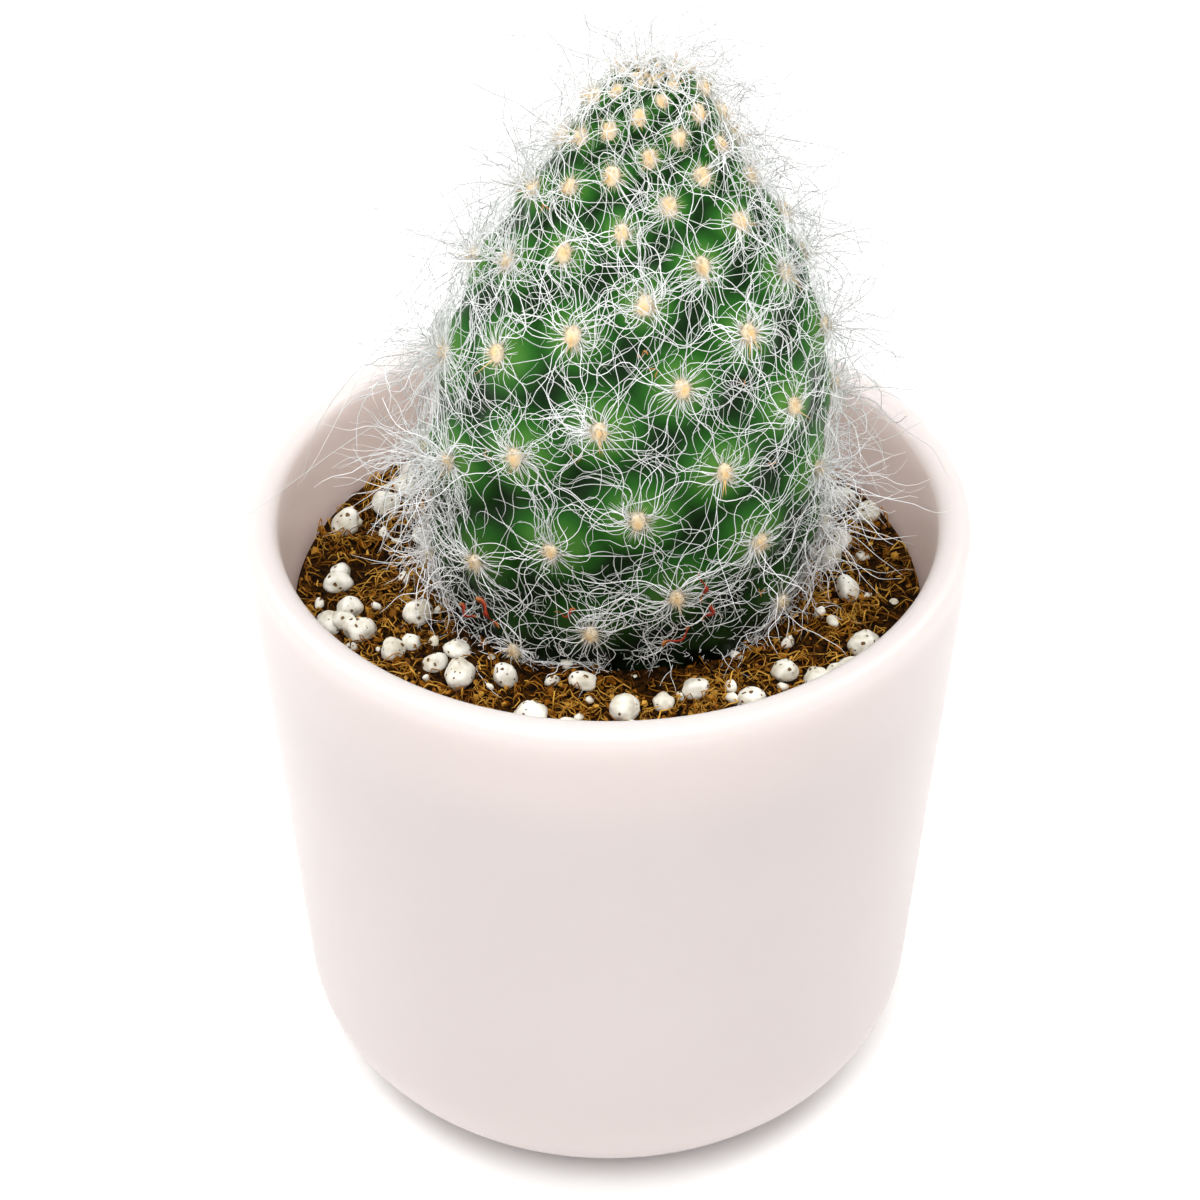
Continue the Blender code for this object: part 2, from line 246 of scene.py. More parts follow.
def tubes(paths, radii, tints, side=None, flat=1.0):
    # closed three-sided tubes along many paths at once: paths is (tubes, points, 3)
    count, length = paths.shape[:2]
    ahead = unit(np.gradient(paths, axis=1))
    side = np.cross(ahead[:, 0], np.array([0.3, 0.5, 0.81])) if side is None else side
    corners = np.empty((count, length, 3, 3))
    for i in range(length):
        side = squareTo(ahead[:, i], side)
        other = np.cross(ahead[:, i], side)
        for k, angle in enumerate((0, fullTurn / 3, fullTurn * 2 / 3)):
            offset = side * math.cos(angle) + other * flat * math.sin(angle)
            corners[:, i, k] = paths[:, i] + offset * radii[:, i, None]
    first = (np.arange(count) * length * 3)[:, None]
    ring = first[:, None] + (np.arange(length - 1) * 3)[:, None]
    low, nextLow = ring + [0, 1, 2], ring + [1, 2, 0]
    quads = np.stack([low, nextLow, nextLow + 3, low + 3], -1).reshape(-1, 4)
    caps = np.concatenate([first + [2, 1, 0], first + (length - 1) * 3 + [0, 1, 2]])
    loops = np.concatenate([quads.ravel(), caps.ravel()]).astype(np.int32)
    sizes = np.concatenate([np.full(len(quads), 4), np.full(len(caps), 3)])
    mesh = bpy.data.meshes.new("piece")
    mesh.vertices.add(count * length * 3)
    mesh.vertices.foreach_set("co", corners.astype(np.float32).ravel())
    mesh.loops.add(len(loops))
    mesh.loops.foreach_set("vertex_index", loops)
    mesh.polygons.add(len(sizes))
    mesh.polygons.foreach_set("loop_start", (np.cumsum(sizes) - sizes).astype(np.int32))
    mesh.update(calc_edges=True)
    return tintedPiece(mesh, np.repeat(tints.ravel(), 3))


# Pot
pot = {
    "height": 73.4 * mm, "rimRadius": 40 * mm, "rimWidth": 3.7 * mm, "rimEdge": 1.5 * mm,
    "footSide": 35.7 * mm, "footCorner": 12.4 * mm, "ringWidth": 3 * mm, "recess": 1.2 * mm,
    "floorTop": 6.2 * mm, "innerFloor": 31 * mm, "innerCorner": 9 * mm, "drain": 4 * mm,
    "soilLevel": 61 * mm, "steps": 144, "edgeSteps": 7, "footSteps": 16, "wallSteps": 14,
    "cornerSteps": 8,
    "clouds": 28.0, "grain": 420.0,   # in waves a metre, as for every pattern here
    "bareHeights": (0.15 * mm, 0.6 * mm),
    # within is painted light: near white, so that the inside of the pot shows lighter than the outside
    # glaze
    "glaze": "#C9BFBD", "glazeDeep": "#C7BDBB", "bare": "#C2B8B0", "within": "#FFF4EA",
}


def innerRadius(height):
    share = (height - pot["floorTop"]) / (pot["height"] - pot["floorTop"])
    return pot["innerFloor"] + (pot["rimRadius"] - pot["rimWidth"] - pot["innerFloor"]) * share


def innerWall():
    # the inner wall's lean in degrees, and the middle of the arc at its foot
    spread = pot["rimRadius"] - pot["rimWidth"] - pot["innerFloor"]
    lean = math.degrees(math.atan2(spread, pot["height"] - pot["floorTop"]))
    return lean, (pot["innerFloor"] - pot["innerCorner"], pot["floorTop"] + pot["innerCorner"])


def glazeMaterial():
    # white porcelain, slip-cast and dipped in a blush satin glaze: an even, soft gloss with a faint
    # pooling of colour, light that soaks through the wall, an inside painted lighter and warmer than
    # the outside as painted light, and a bare matt ring where it stood in the kiln
    made, shader = newMaterial(
        "slipCastSatinGlaze", Roughness=0.42, IOR=1.5, Coat_Weight=0.1, Coat_Roughness=0.2,
        Subsurface_Weight=1.0, Subsurface_Scale=12 * mm, Subsurface_Radius=(1.0, 0.92, 0.86),
    )
    place = addNode(made, "TexCoord", out="Object")
    clouds = addNode(made, "TexNoise", {"Vector": place},
                     {"Scale": pot["clouds"], "Detail": 3.0, "Roughness": 0.55})
    stops = [(0.35, pot["glazeDeep"]), (0.65, pot["glaze"])]
    outer = addNode(made, "ValToRGB", {"Fac": clouds}, stops=stops)
    within = addNode(made, "Attribute", out="Fac", attribute_name="within")
    # painted light: the inside of the pot takes the lighter within colour
    glazed = addNode(made, "MixRGB", {"Fac": within, "Color1": outer}, {"Color2": linear(pot["within"])})
    height = addNode(made, "SeparateXYZ", {"Vector": place}, out="Z")
    ringTop, glazeFoot = pot["bareHeights"]
    low = addNode(made, "MapRange", {"Value": height}, {"From Min": ringTop, "From Max": glazeFoot})
    colour = addNode(made, "MixRGB", {"Fac": low, "Color2": glazed}, {"Color1": linear(pot["bare"])})
    skin = addNode(made, "TexNoise", {"Vector": place}, {"Scale": pot["grain"], "Detail": 2.0})
    bump = addNode(made, "Bump", {"Height": skin}, {"Strength": 0.025, "Distance": 0.1 * mm})
    connect(made, shader, Base_Color=colour, Normal=bump)
    return made


def makePot():
    rim, edge, corner, top = pot["rimRadius"], pot["rimEdge"], pot["footCorner"], pot["height"]
    lean = math.degrees(math.atan2(rim - pot["footSide"], top))
    innerLean, innerCentre = innerWall()
    ringOuter = pot["footSide"] - corner
    ringInner = ringOuter - pot["ringWidth"]
    outline = arcPoints((rim - edge, top - edge), edge, 90, -lean, pot["edgeSteps"])
    foot = arcPoints((ringOuter, corner), corner, -lean, -90, pot["footSteps"])
    outline += wallPoints(outline[-1], foot[0], pot["wallSteps"]) + foot
    outline += [(ringInner, 0), (ringInner - pot["recess"], pot["recess"])]
    outline += [(pot["drain"], pot["recess"]), (pot["drain"], pot["floorTop"])]
    inside = arcPoints(innerCentre, pot["innerCorner"], -90, -innerLean, pot["cornerSteps"])
    lipCentre = (rim - pot["rimWidth"] + edge, top - edge)
    lip = arcPoints(lipCentre, edge, 180 - innerLean, 90, pot["edgeSteps"])
    outline += inside + wallPoints(inside[-1], lip[0], pot["wallSteps"]) + lip
    outline.append(outline[0])
    piece = spun(outline, pot["steps"])
    points = readPoints(piece.data)
    middle = innerRadius(points[:, 2]) + pot["rimWidth"] / 2
    within = np.hypot(points[:, 0], points[:, 1]) < np.where(points[:, 2] > pot["recess"] * 2, middle, 0)
    storeValues(piece.data, "within", within)
    finishPiece(piece, "glazedPot", glazeMaterial(), "pot", "pot")
    say("pot")


# Stem: its form and its spiral of tufts follow the same rule as the solid one
stem = {
    "corners": (   # height and half width in mm, from the buried foot to the crown
        (-16.0, 0.0), (-16.0, 8.0), (-12.0, 14.5), (-4.0, 18.2), (6.0, 20.0), (20.0, 20.4),
        (35.0, 19.1), (47.5, 13.3), (56.5, 7.7), (62.0, 5.4), (64.2, 3.8), (64.3, 0.0),
    ),
    "rounds": 4, "height": 64.3 * mm, "thickness": 0.80, "foot": (1.2 * mm, 2.5 * mm), "lean": 3.4 * mm,
    "segments": 160, "rings": 110, "slopeSpan": 0.8 * mm,
    "tuftTurn": -66.725, "firstTurn": 137.4, "firstHeight": -5.1 * mm, "rise": 0.958 * mm,
    "crowding": 0.78, "lowest": 1.2 * mm, "topGap": 1.2 * mm, "relief": 0.17, "reach": 0.72,
    "grooveSoftness": 0.2 * mm, "buriedFade": 3 * mm, "poleReach": 0.2 * mm,
    "dent": 0.10 * mm, "dentSize": 2.2 * mm, "mottle": 190.0, "grain": 900.0,
    "nearTuft": "#5F943E", "flank": "#235F19", "groove": "#041304", "shade": "#0D3009",
    "base": "#030802", "baseHeights": (2 * mm, 21 * mm),
}


def cutCorners(points, rounds):
    for _ in range(rounds):
        cut = [points[0]]
        for (a, b), (c, d) in zip(points, points[1:]):
            cut += [(0.75 * a + 0.25 * c, 0.75 * b + 0.25 * d), (0.25 * a + 0.75 * c, 0.25 * b + 0.75 * d)]
        points = cut + [points[-1]]
    return points


class StemShape:
    # the smooth stem by distance along its side and turn round it, for whole arrays at once
    def __init__(self):
        outline = np.array(cutCorners(list(stem["corners"]), stem["rounds"])) * mm
        steps = np.hypot(np.diff(outline[:, 0]), np.diff(outline[:, 1]))
        self.along = np.concatenate([[0.0], np.cumsum(steps)])
        self.heights, self.widths = outline[:, 0], outline[:, 1]
        self.length, self.widest = float(self.along[-1]), float(self.widths.max())
        self.around = np.linspace(-math.pi, math.pi, 721)   # every half degree
        rates = np.hypot(np.cos(self.around), stem["thickness"] * np.sin(self.around))
        lengths = np.concatenate([[0.0], np.cumsum((rates[1:] + rates[:-1]) / 2)])
        self.shares = lengths / lengths[-1]
        self.girthRatio = fullTurn * float(rates.mean())

    def width(self, along):
        return np.interp(along, self.along, self.widths)

    def height(self, along):
        return np.interp(along, self.along, self.heights)

    def alongAt(self, height):
        side = self.heights > self.heights[0] + 0.01 * mm   # without the flat foot
        return np.interp(height, self.heights[side], self.along[side])

    def angle(self, turn):
        # even turns keep even distances along the oval girth
        return np.interp((np.asarray(turn) / 360 + 0.5) % 1, self.shares, self.around)

    def normal(self, along, turn):
        low = np.maximum(along - stem["slopeSpan"], 0)
        high = np.minimum(along + stem["slopeSpan"], self.length)
        rise, spread = self.height(high) - self.height(low), self.width(high) - self.width(low)
        angle = self.angle(turn)
        out = np.stack([np.sin(angle) * stem["thickness"], -np.cos(angle)], -1)
        out /= np.linalg.norm(out, axis=-1, keepdims=True)
        return unit(np.concatenate([out * rise[..., None], -spread[..., None]], -1))

    def point(self, along, turn, lift=0.0):
        width, height, angle = self.width(along), self.height(along), self.angle(turn)
        middle = stem["foot"][0] + stem["lean"] * np.maximum(height, 0) / stem["height"]
        x = middle + width * np.sin(angle)
        y = stem["foot"][1] - stem["thickness"] * width * np.cos(angle)
        base = np.stack([x, y, pot["soilLevel"] + height], -1)
        return base + self.normal(along, turn) * np.asarray(lift)[..., None]


def tuftPlaces(shape):
    # distance along, turn and spacing of every tuft, lowest first
    places = []
    along, turn = shape.alongAt(stem["firstHeight"]), stem["firstTurn"]
    while along < shape.length - stem["topGap"]:
        width = float(shape.width(along))
        rise = stem["rise"] * (width / shape.widest) ** stem["crowding"]
        places.append((along, turn, math.sqrt(rise * shape.girthRatio * width)))
        along += rise
        turn += stem["tuftTurn"]
    return np.array(places)


def softMax(a, b, softness):
    # the larger of two heights, with the crease between them rounded
    gap = np.maximum(softness - np.abs(a - b), 0) / softness
    return np.maximum(a, b) + gap * gap * softness / 4


def moundLift(shape, places, along, turn):
    # height of the tubercles over the smooth stem, and how near a place is to a tuft, 0 to 1
    girth = shape.girthRatio * shape.width(along)
    lift = np.zeros(len(along))
    near = np.zeros(len(along))
    for place, placeTurn, spacing in places:
        sideways = ((turn - placeTurn + 180) % 360 - 180) / 360 * girth
        reach = np.hypot(place - along, sideways) / (stem["reach"] * spacing)
        mound = stem["relief"] * spacing * (1 - reach ** 2)
        lift = softMax(lift, mound, stem["grooveSoftness"])
        near = np.maximum(near, 1 - reach)
    fade = np.clip(1.5 + shape.height(along) / stem["buriedFade"], 0, 1)
    return lift * fade, near


class TuftSeats:
    # where the tufts above the soil sit on their mounds
    def __init__(self, shape, places):
        self.along, self.turn, self.spacing = places[shape.height(places[:, 0]) > stem["lowest"]].T
        self.count = len(self.along)
        self.lift = moundLift(shape, places, self.along, self.turn)[0]
        self.centre = shape.point(self.along, self.turn, self.lift)
        self.normal = shape.normal(self.along, self.turn)
        self.up = uphill(self.normal)
        self.across = np.cross(self.up, self.normal)


def skinMaterial():
    # a succulent's waxy skin: deep green and satin, yellower round each tuft with a painted highlight on
    # the mounds there, painted shade in the grooves and low down under the hair, with a finer mottling of
    # the flesh under it
    made, shader = newMaterial(
        "waxySucculentSkin", Roughness=0.45, IOR=1.42, Specular_IOR_Level=0.18, Subsurface_Weight=0.06,
        Subsurface_Scale=1.2 * mm, Subsurface_Radius=(0.4, 1.0, 0.2),
    )
    place = addNode(made, "TexCoord", out="Object")
    near = addNode(made, "Attribute", out="Fac", attribute_name="nearTuft")
    mottle = addNode(made, "TexNoise", {"Vector": place},
                     {"Scale": stem["mottle"], "Detail": 4.0, "Roughness": 0.6})
    shifted = addNode(made, "Math", {0: mottle, 2: near}, {1: 0.16}, operation="MULTIPLY_ADD")
    # painted highlight on the mounds round the tufts, painted shade near black in the grooves between them
    stops = [(0.08, stem["groove"]), (0.3, stem["shade"]), (0.55, stem["flank"]), (0.98, stem["nearTuft"])]
    green = addNode(made, "ValToRGB", {"Fac": shifted}, stops=stops)
    height = addNode(made, "SeparateXYZ", {"Vector": place}, out="Z")
    # painted shade: the skin goes near black low down by the soil, under the hair
    low, high = (pot["soilLevel"] + h for h in stem["baseHeights"])
    rising = addNode(made, "MapRange", {"Value": height}, {"From Min": low, "From Max": high})
    patchy = addNode(made, "Math", {0: mottle, 2: rising}, {1: 0.5}, operation="MULTIPLY_ADD")
    blend = addNode(made, "MapRange", {"Value": patchy}, {"From Min": 0.25, "From Max": 1.15})
    colour = addNode(made, "MixRGB", {"Fac": blend, "Color2": green}, {"Color1": linear(stem["base"])})
    grain = addNode(made, "TexNoise", {"Vector": place}, {"Scale": stem["grain"], "Detail": 3.0})
    bump = addNode(made, "Bump", {"Height": grain}, {"Strength": 0.12, "Distance": 0.12 * mm})
    connect(made, shader, Base_Color=colour, Normal=bump)
    return made


def makeSkin(shape, places):
    nothingSelected()
    bpy.ops.mesh.primitive_uv_sphere_add(segments=stem["segments"], ring_count=stem["rings"], radius=1)
    piece = bpy.context.object
    ball = readPoints(piece.data)
    along = np.arccos(np.clip(-ball[:, 2], -1, 1)) / math.pi * shape.length
    turn = np.degrees(np.arctan2(ball[:, 0], -ball[:, 1]))
    lift, near = moundLift(shape, places, along, turn)
    pole = np.minimum(along, shape.length - along) < stem["poleReach"]
    lift[pole] = lift[np.argmax(np.where(pole, 0, along))]   # as the ring next to it
    placed = shape.point(along, turn, lift)
    for i, place in enumerate(placed):
        dent = stem["dent"] * noise.noise(Vector(place) / stem["dentSize"])
        placed[i] += dent * (ball[i] * (1, 1, 0.3))
    writePoints(piece.data, placed)
    storeValues(piece.data, "nearTuft", near)
    bpy.ops.object.shade_smooth()
    finishPiece(piece, "cactusSkin", skinMaterial(), "cactus", "cactus")
    say("skin")


# Soil
soil = {
    "lump": 1.4 * mm, "lumpSize": 7 * mm, "flatReach": 3 * mm, "gap": 0.3 * mm,
    "innerRing": 13 * mm, "rings": 60, "steps": 240, "cornerSteps": 4, "crumbHeight": 1.1 * mm,
    "crumbSize": 0.8 * mm, "finerCrumbs": 2.3, "crumbSink": 1.05, "holeMargin": 1.5 * mm,
    "shadeReach": 6.5 * mm, "grain": 1100.0, "dark": "#0C0400", "brown": "#5C3504", "golden": "#B67E1C",
}


def stemDistance(shape, x, y):
    width = float(shape.width(shape.alongAt(0)))
    return np.hypot(x - stem["foot"][0], (y - stem["foot"][1]) / stem["thickness"]) - width


def shaded(shape, x, y):
    # painted shade: 1 on the soil close in front of the stem, 0 away from it
    near = np.clip(1 - stemDistance(shape, x, y) / soil["shadeReach"], 0, 1)
    return near * np.clip(-y / np.maximum(np.hypot(x, y), 0.1 * mm) * 1.6 - 0.4, 0, 1)


def unevenness(x, y, size, layer=0, finer=1):
    # smooth noise at each place, in bumps of one size
    return np.array([noise.noise(Vector((a, b, layer)) / size * finer) for a, b in zip(x, y)])


def soilHeight(shape, x, y):
    fade = np.clip(stemDistance(shape, x, y) / soil["flatReach"], 0, 1)
    return pot["soilLevel"] + fade * soil["lump"] * unevenness(x, y, soil["lumpSize"])


def compostMaterial():
    # peat and chopped coconut fibre, sieved and damp: matt and golden brown, with painted light on its
    # crests and painted shade, almost black, in the gaps between crumbs and close in front of the stem
    made, shader = newMaterial("sievedCoirCompost", Roughness=0.92, IOR=1.4, Specular_IOR_Level=0.1)
    place = addNode(made, "TexCoord", out="Object")
    depth = addNode(made, "Attribute", out="Fac", attribute_name="crest")
    grains = addNode(made, "TexNoise", {"Vector": place},
                     {"Scale": soil["grain"], "Detail": 4.0, "Roughness": 0.7})
    mixed = addNode(made, "Math", {0: grains, 2: depth}, {1: 0.5}, operation="MULTIPLY_ADD")
    stops = [(0.22, soil["dark"]), (0.45, soil["brown"]), (0.8, soil["golden"])]
    colour = addNode(made, "ValToRGB", {"Fac": mixed}, stops=stops)
    bump = addNode(made, "Bump", {"Height": grains}, {"Strength": 0.6, "Distance": 0.3 * mm})
    connect(made, shader, Base_Color=colour, Normal=bump)
    return made


def makeSoil(shape):
    level, gap = pot["soilLevel"], soil["gap"]
    lean, centre = innerWall()
    outline = [(0, level)]
    rings = np.linspace(soil["innerRing"], innerRadius(level) - gap, soil["rings"])
    outline += [(r, level) for r in rings]
    outline += arcPoints(centre, pot["innerCorner"] - gap, -lean, -90, soil["cornerSteps"])
    outline += [(0, pot["floorTop"] + gap)]
    piece = spun(outline, soil["steps"])
    points = readPoints(piece.data)
    top = points[:, 2] > level - 0.01 * mm
    x, y = points[top, 0], points[top, 1]
    crumbs = unevenness(x, y, soil["crumbSize"])
    crumbs += 0.5 * unevenness(x, y, soil["crumbSize"], 9, soil["finerCrumbs"])
    points[top, 2] = soilHeight(shape, x, y) + soil["crumbHeight"] * (crumbs - soil["crumbSink"])
    hole = np.flatnonzero(top)[stemDistance(shape, x, y) < -soil["holeMargin"]]
    points[hole, 2] = level + stem["corners"][0][0] * mm - gap   # under the stem's foot
    writePoints(piece.data, points)
    crest = np.zeros(len(points))
    # painted light on the crumbs' crests, painted shade in the gaps between them and in front of the stem
    crest[top] = np.clip(crumbs * 0.6 + 0.35 - 0.6 * shaded(shape, x, y), -0.3, 1)
    storeValues(piece.data, "crest", crest)
    finishPiece(piece, "compost", compostMaterial(), "soil", "soil")


# Strewing on the soil
evenSteps = (0.7548776662, 0.5698402910)   # two irrational shares, whose multiples never bunch


def soilDarts(shape, rng, count, margin, inner):
    # evenly strewn places on the ring of soil between the stem and the pot
    reach = innerRadius(pot["soilLevel"]) - soil["gap"] - margin
    order = rng.uniform(0, 1000) + np.arange(3 * count)
    r = reach * np.sqrt((order * evenSteps[0]) % 1)
    t = fullTurn * ((order * evenSteps[1]) % 1)
    darts = np.stack([r * np.sin(t), -r * np.cos(t)], -1)
    darts += rng.normal(0, 0.3 * mm, darts.shape)
    return darts[stemDistance(shape, darts[:, 0], darts[:, 1]) > inner][:count]


# Coconut fibres
fibre = {
    "seed": 21, "count": 6800, "margin": 0.8 * mm, "inner": -0.5 * mm, "wallGap": 0.3 * mm,
    "pushed": 0.4 * mm,
    "length": (1.2 * mm, 4.8 * mm), "radius": (0.04 * mm, 0.12 * mm), "points": 5,
    "sway": [(1.6, (3.5 * mm, 7 * mm)), (0.6, (2.4 * mm, 4 * mm))],
    "depth": (-0.6 * mm, 0.5 * mm), "arch": 1.6 * mm, "arched": 0.4, "shadeLoss": 0.8,
    "dark": "#2C1500", "brown": "#8E560A", "golden": "#E2AE4C",
}


def fibreMaterial():
    # coconut fibre, retted and chopped: wiry and slightly shiny, brown to straw gold
    stops = [(0.0, fibre["dark"]), (0.45, fibre["brown"]), (1.0, fibre["golden"])]
    return tintMaterial("choppedCoirFibre", stops, Roughness=0.6, IOR=1.45, Specular_IOR_Level=0.15)


def makeFibres(shape):
    rng = np.random.default_rng(fibre["seed"])
    count, steps = fibre["count"], fibre["points"]
    spots = soilDarts(shape, rng, count, fibre["margin"], fibre["inner"])
    heading = rng.uniform(0, fullTurn, count)
    length = rng.uniform(*fibre["length"], count)
    sway = waves(rng, count, fibre["sway"])
    step = length / (steps - 1)
    flat = np.empty((count, steps, 2))
    flat[:, 0] = spots
    for i in range(1, steps):
        angle = heading + wobble(sway, step * i)
        flat[:, i] = flat[:, i - 1] + np.stack([np.cos(angle), np.sin(angle)], -1) * step[:, None]
    limit = innerRadius(pot["soilLevel"]) - soil["gap"] - fibre["wallGap"]
    flat *= np.minimum(1, limit / np.linalg.norm(flat, axis=2, keepdims=True))
    ground = soilHeight(shape, flat[..., 0].ravel(), flat[..., 1].ravel()).reshape(count, steps)
    shares = np.linspace(0, 1, steps)
    arch = np.sin(math.pi * shares)[None] * rng.uniform(0, fibre["arch"], count)[:, None]
    arch = arch * (rng.random(count) < fibre["arched"])[:, None]
    height = ground + rng.uniform(*fibre["depth"], count)[:, None] + arch
    paths = np.concatenate([flat, height[..., None]], -1)
    # fewer golden fibres where shade is painted in front of the stem
    keep = rng.random(count) > fibre["shadeLoss"] * shaded(shape, spots[:, 0], spots[:, 1])
    for centre, size in zip(*granuleStones(shape, np.random.default_rng(granule["seed"]))):
        away = (paths - centre) * (1, 1, 0)
        far = np.maximum(np.linalg.norm(away, axis=2, keepdims=True), 0.01 * mm)
        push = np.maximum(size.max() - far, 0)
        keep &= push.max(axis=(1, 2)) < fibre["pushed"]
        paths += away / far * push
    taper = np.interp(shares, [0, 0.15, 0.8, 1], [0.4, 1, 0.9, 0.3])
    radii = rng.uniform(*fibre["radius"], count)[:, None] * taper[None]
    tints = np.repeat(rng.beta(2, 1.6, count)[:, None], steps, 1)
    # painted shade on the fibres in front of the stem
    tints *= 1 - shaded(shape, paths[..., 0], paths[..., 1])
    paths, radii, tints = paths[keep], radii[keep], tints[keep]
    finishPiece(tubes(paths, radii, tints), "coirFibres", fibreMaterial(), "soil")


# Crumbs and stones
def lumpyBalls(centres, sizes, subdivisions, roughness, rng, tints):
    # many lumpy stones from one ball: each is stretched, turned and dented its own way
    ball, faces = roundBall(subdivisions)
    shells = []
    for centre, size in zip(centres, sizes):
        axes = np.linalg.qr(rng.normal(0, 1, (3, 3)))[0]
        if np.linalg.det(axes) < 0:   # a mirrored ball would be inside out
            axes[:, 0] *= -1
        seat = rng.uniform(0, 90, 3)
        dents = np.array([1 + roughness * noise.noise(Vector(p * 1.3 + seat)) for p in ball])
        shells.append((ball * dents[:, None] * size) @ axes.T + centre)
    return copiedBalls(np.array(shells), faces, np.repeat(tints, len(ball)))


crumb = {
    "seed": 31, "count": 2800, "size": (0.15 * mm, 0.48 * mm), "depth": (-0.5 * mm, 0.35 * mm),
    "stretch": (0.35, 1.4), "roughness": 0.9,
}


def makeCrumbs(shape):
    rng = np.random.default_rng(crumb["seed"])
    count = crumb["count"]
    spots = soilDarts(shape, rng, count, fibre["margin"], fibre["inner"])
    x, y = spots.T
    size = rng.uniform(*crumb["size"], count)
    centres = np.column_stack([spots, soilHeight(shape, x, y) + rng.uniform(*crumb["depth"], count)])
    stretched = size[:, None] * rng.uniform(*crumb["stretch"], (count, 3))
    # painted shade on the crumbs in front of the stem
    tints = rng.beta(1.6, 1.8, count) * (1 - shaded(shape, x, y))
    piece = lumpyBalls(centres, stretched, 1, crumb["roughness"], rng, tints)
    piece.data.shade_flat()
    finishPiece(piece, "peatCrumbs", fibreMaterial(), "soil")


granule = {
    "seed": 5, "count": 56, "radius": (1.35 * mm, 1.95 * mm), "sink": 0.35, "spacing": 1.06,
    "innermost": 0.25, "girth": 0.92, "shortest": (1.0, 0.84, 0.8), "longest": (1.16, 1.0, 0.98),
    "roughness": 0.24, "doubled": 9, "budReach": 1.05, "budSize": 0.85,
    "chips": 90, "chipSize": (0.35 * mm, 0.95 * mm), "chipStretch": (0.6, 1.3), "chipLift": 0.3 * mm,
    "chipMargin": 1.2 * mm, "chipInner": 1.5 * mm, "chipRoughness": 0.35,
    "patch": 500.0, "warp": 2200.0, "pore": 1350.0, "warped": 0.35 * mm,
    "white": "#F6F3E8", "grey": "#CFC7B3", "pit": "#6A4A22",
}


def granulePlaces(shape):
    # the same seeded darts as the solid soil's granules
    draw = random.Random(granule["seed"])
    found = []
    while len(found) < granule["count"]:
        radius = draw.uniform(*granule["radius"])
        turn = draw.uniform(0.0, fullTurn)
        reach = innerRadius(pot["soilLevel"]) - 2.0 * soil["gap"] - radius
        distance = reach * math.sqrt(draw.uniform(granule["innermost"], 1.0))
        x, y = distance * math.sin(turn), -distance * math.cos(turn)
        clear = stemDistance(shape, x, y) > soil["flatReach"] + radius
        apart = all(math.hypot(x - a, y - b) > granule["spacing"] * (radius + c) for a, b, c in found)
        if clear and apart:
            found.append((x, y, radius))
    return np.array(found)


def granuleMaterial():
    # expanded volcanic glass, popped in a furnace: chalky white and matt, with small burst pores
    # that hold brown dust
    made, shader = newMaterial("poppedPerliteGrain", Roughness=0.7, IOR=1.45)
    place = addNode(made, "TexCoord", out="Object")
    patches = addNode(made, "TexNoise", {"Vector": place}, {"Scale": granule["patch"], "Detail": 2.0})
    stops = [(0.35, granule["grey"]), (0.6, granule["white"])]
    shade = addNode(made, "ValToRGB", {"Fac": patches}, stops=stops)
    warp = addNode(made, "TexNoise", {"Vector": place}, {"Scale": granule["warp"], "Detail": 1.0},
                   out="Color")
    pushed = addNode(made, "VectorMath", {0: warp, 2: place}, {1: (granule["warped"],) * 3},
                     operation="MULTIPLY_ADD")
    middle = addNode(made, "TexVoronoi", {"Vector": pushed}, {"Scale": granule["pore"]}, out="Distance")
    size = addNode(made, "SeparateColor", {"Color": middle.node.outputs["Color"]}, out="Red")
    wide = addNode(made, "MapRange", {"Value": size},
                   {"From Min": 0.15, "From Max": 1.0, "To Min": 0.0, "To Max": 0.34})
    pore = addNode(made, "Math", {0: middle, 1: wide}, operation="SUBTRACT")
    edge = addNode(made, "MapRange", {"Value": pore}, {"From Min": -0.02, "From Max": 0.05})
    colour = addNode(made, "MixRGB", {"Fac": edge, "Color2": shade}, {"Color1": linear(granule["pit"])})
    pitted = addNode(made, "Bump", {"Height": edge}, {"Strength": 0.7, "Distance": 0.2 * mm})
    uneven = addNode(made, "Bump", {"Height": patches, "Normal": pitted},
                     {"Strength": 0.8, "Distance": 0.6 * mm})
    connect(made, shader, Base_Color=colour, Normal=uneven)
    return made


def granuleStones(shape, rng):
    # middle and half lengths of every granule; some have a second one grown on to them
    x, y, radius = granulePlaces(shape).T
    centres = np.column_stack([x, y, soilHeight(shape, x, y) + granule["sink"] * radius])
    stretch = rng.uniform(granule["shortest"], granule["longest"], (len(x), 3))
    sizes = granule["girth"] * radius[:, None] * stretch
    pick = rng.permutation(len(x))[:granule["doubled"]]
    turn = rng.uniform(0, fullTurn, len(pick))
    beside = np.stack([np.cos(turn), np.sin(turn), 0.5 * np.cos(3 * turn)], -1)
    buds = centres[pick] + beside * radius[pick, None] * granule["budReach"]
    return np.concatenate([centres, buds]), np.concatenate([sizes, sizes[pick] * granule["budSize"]])


def makeGranules(shape):
    rng = np.random.default_rng(granule["seed"])
    chalk = granuleMaterial()
    centres, sizes = granuleStones(shape, rng)
    piece = lumpyBalls(centres, sizes, 3, granule["roughness"], rng, np.zeros(len(centres)))
    finishPiece(piece, "whiteGranules", chalk, "soil")
    count = granule["chips"]
    spots = soilDarts(shape, rng, count, granule["chipMargin"], granule["chipInner"])
    size = rng.uniform(*granule["chipSize"], count)
    centres = np.column_stack([spots, soilHeight(shape, *spots.T) + granule["chipLift"]])
    sizes = size[:, None] * rng.uniform(*granule["chipStretch"], (count, 3))
    piece = lumpyBalls(centres, sizes, 2, granule["chipRoughness"], rng, np.zeros(count))
    finishPiece(piece, "whiteChips", chalk, "soil")


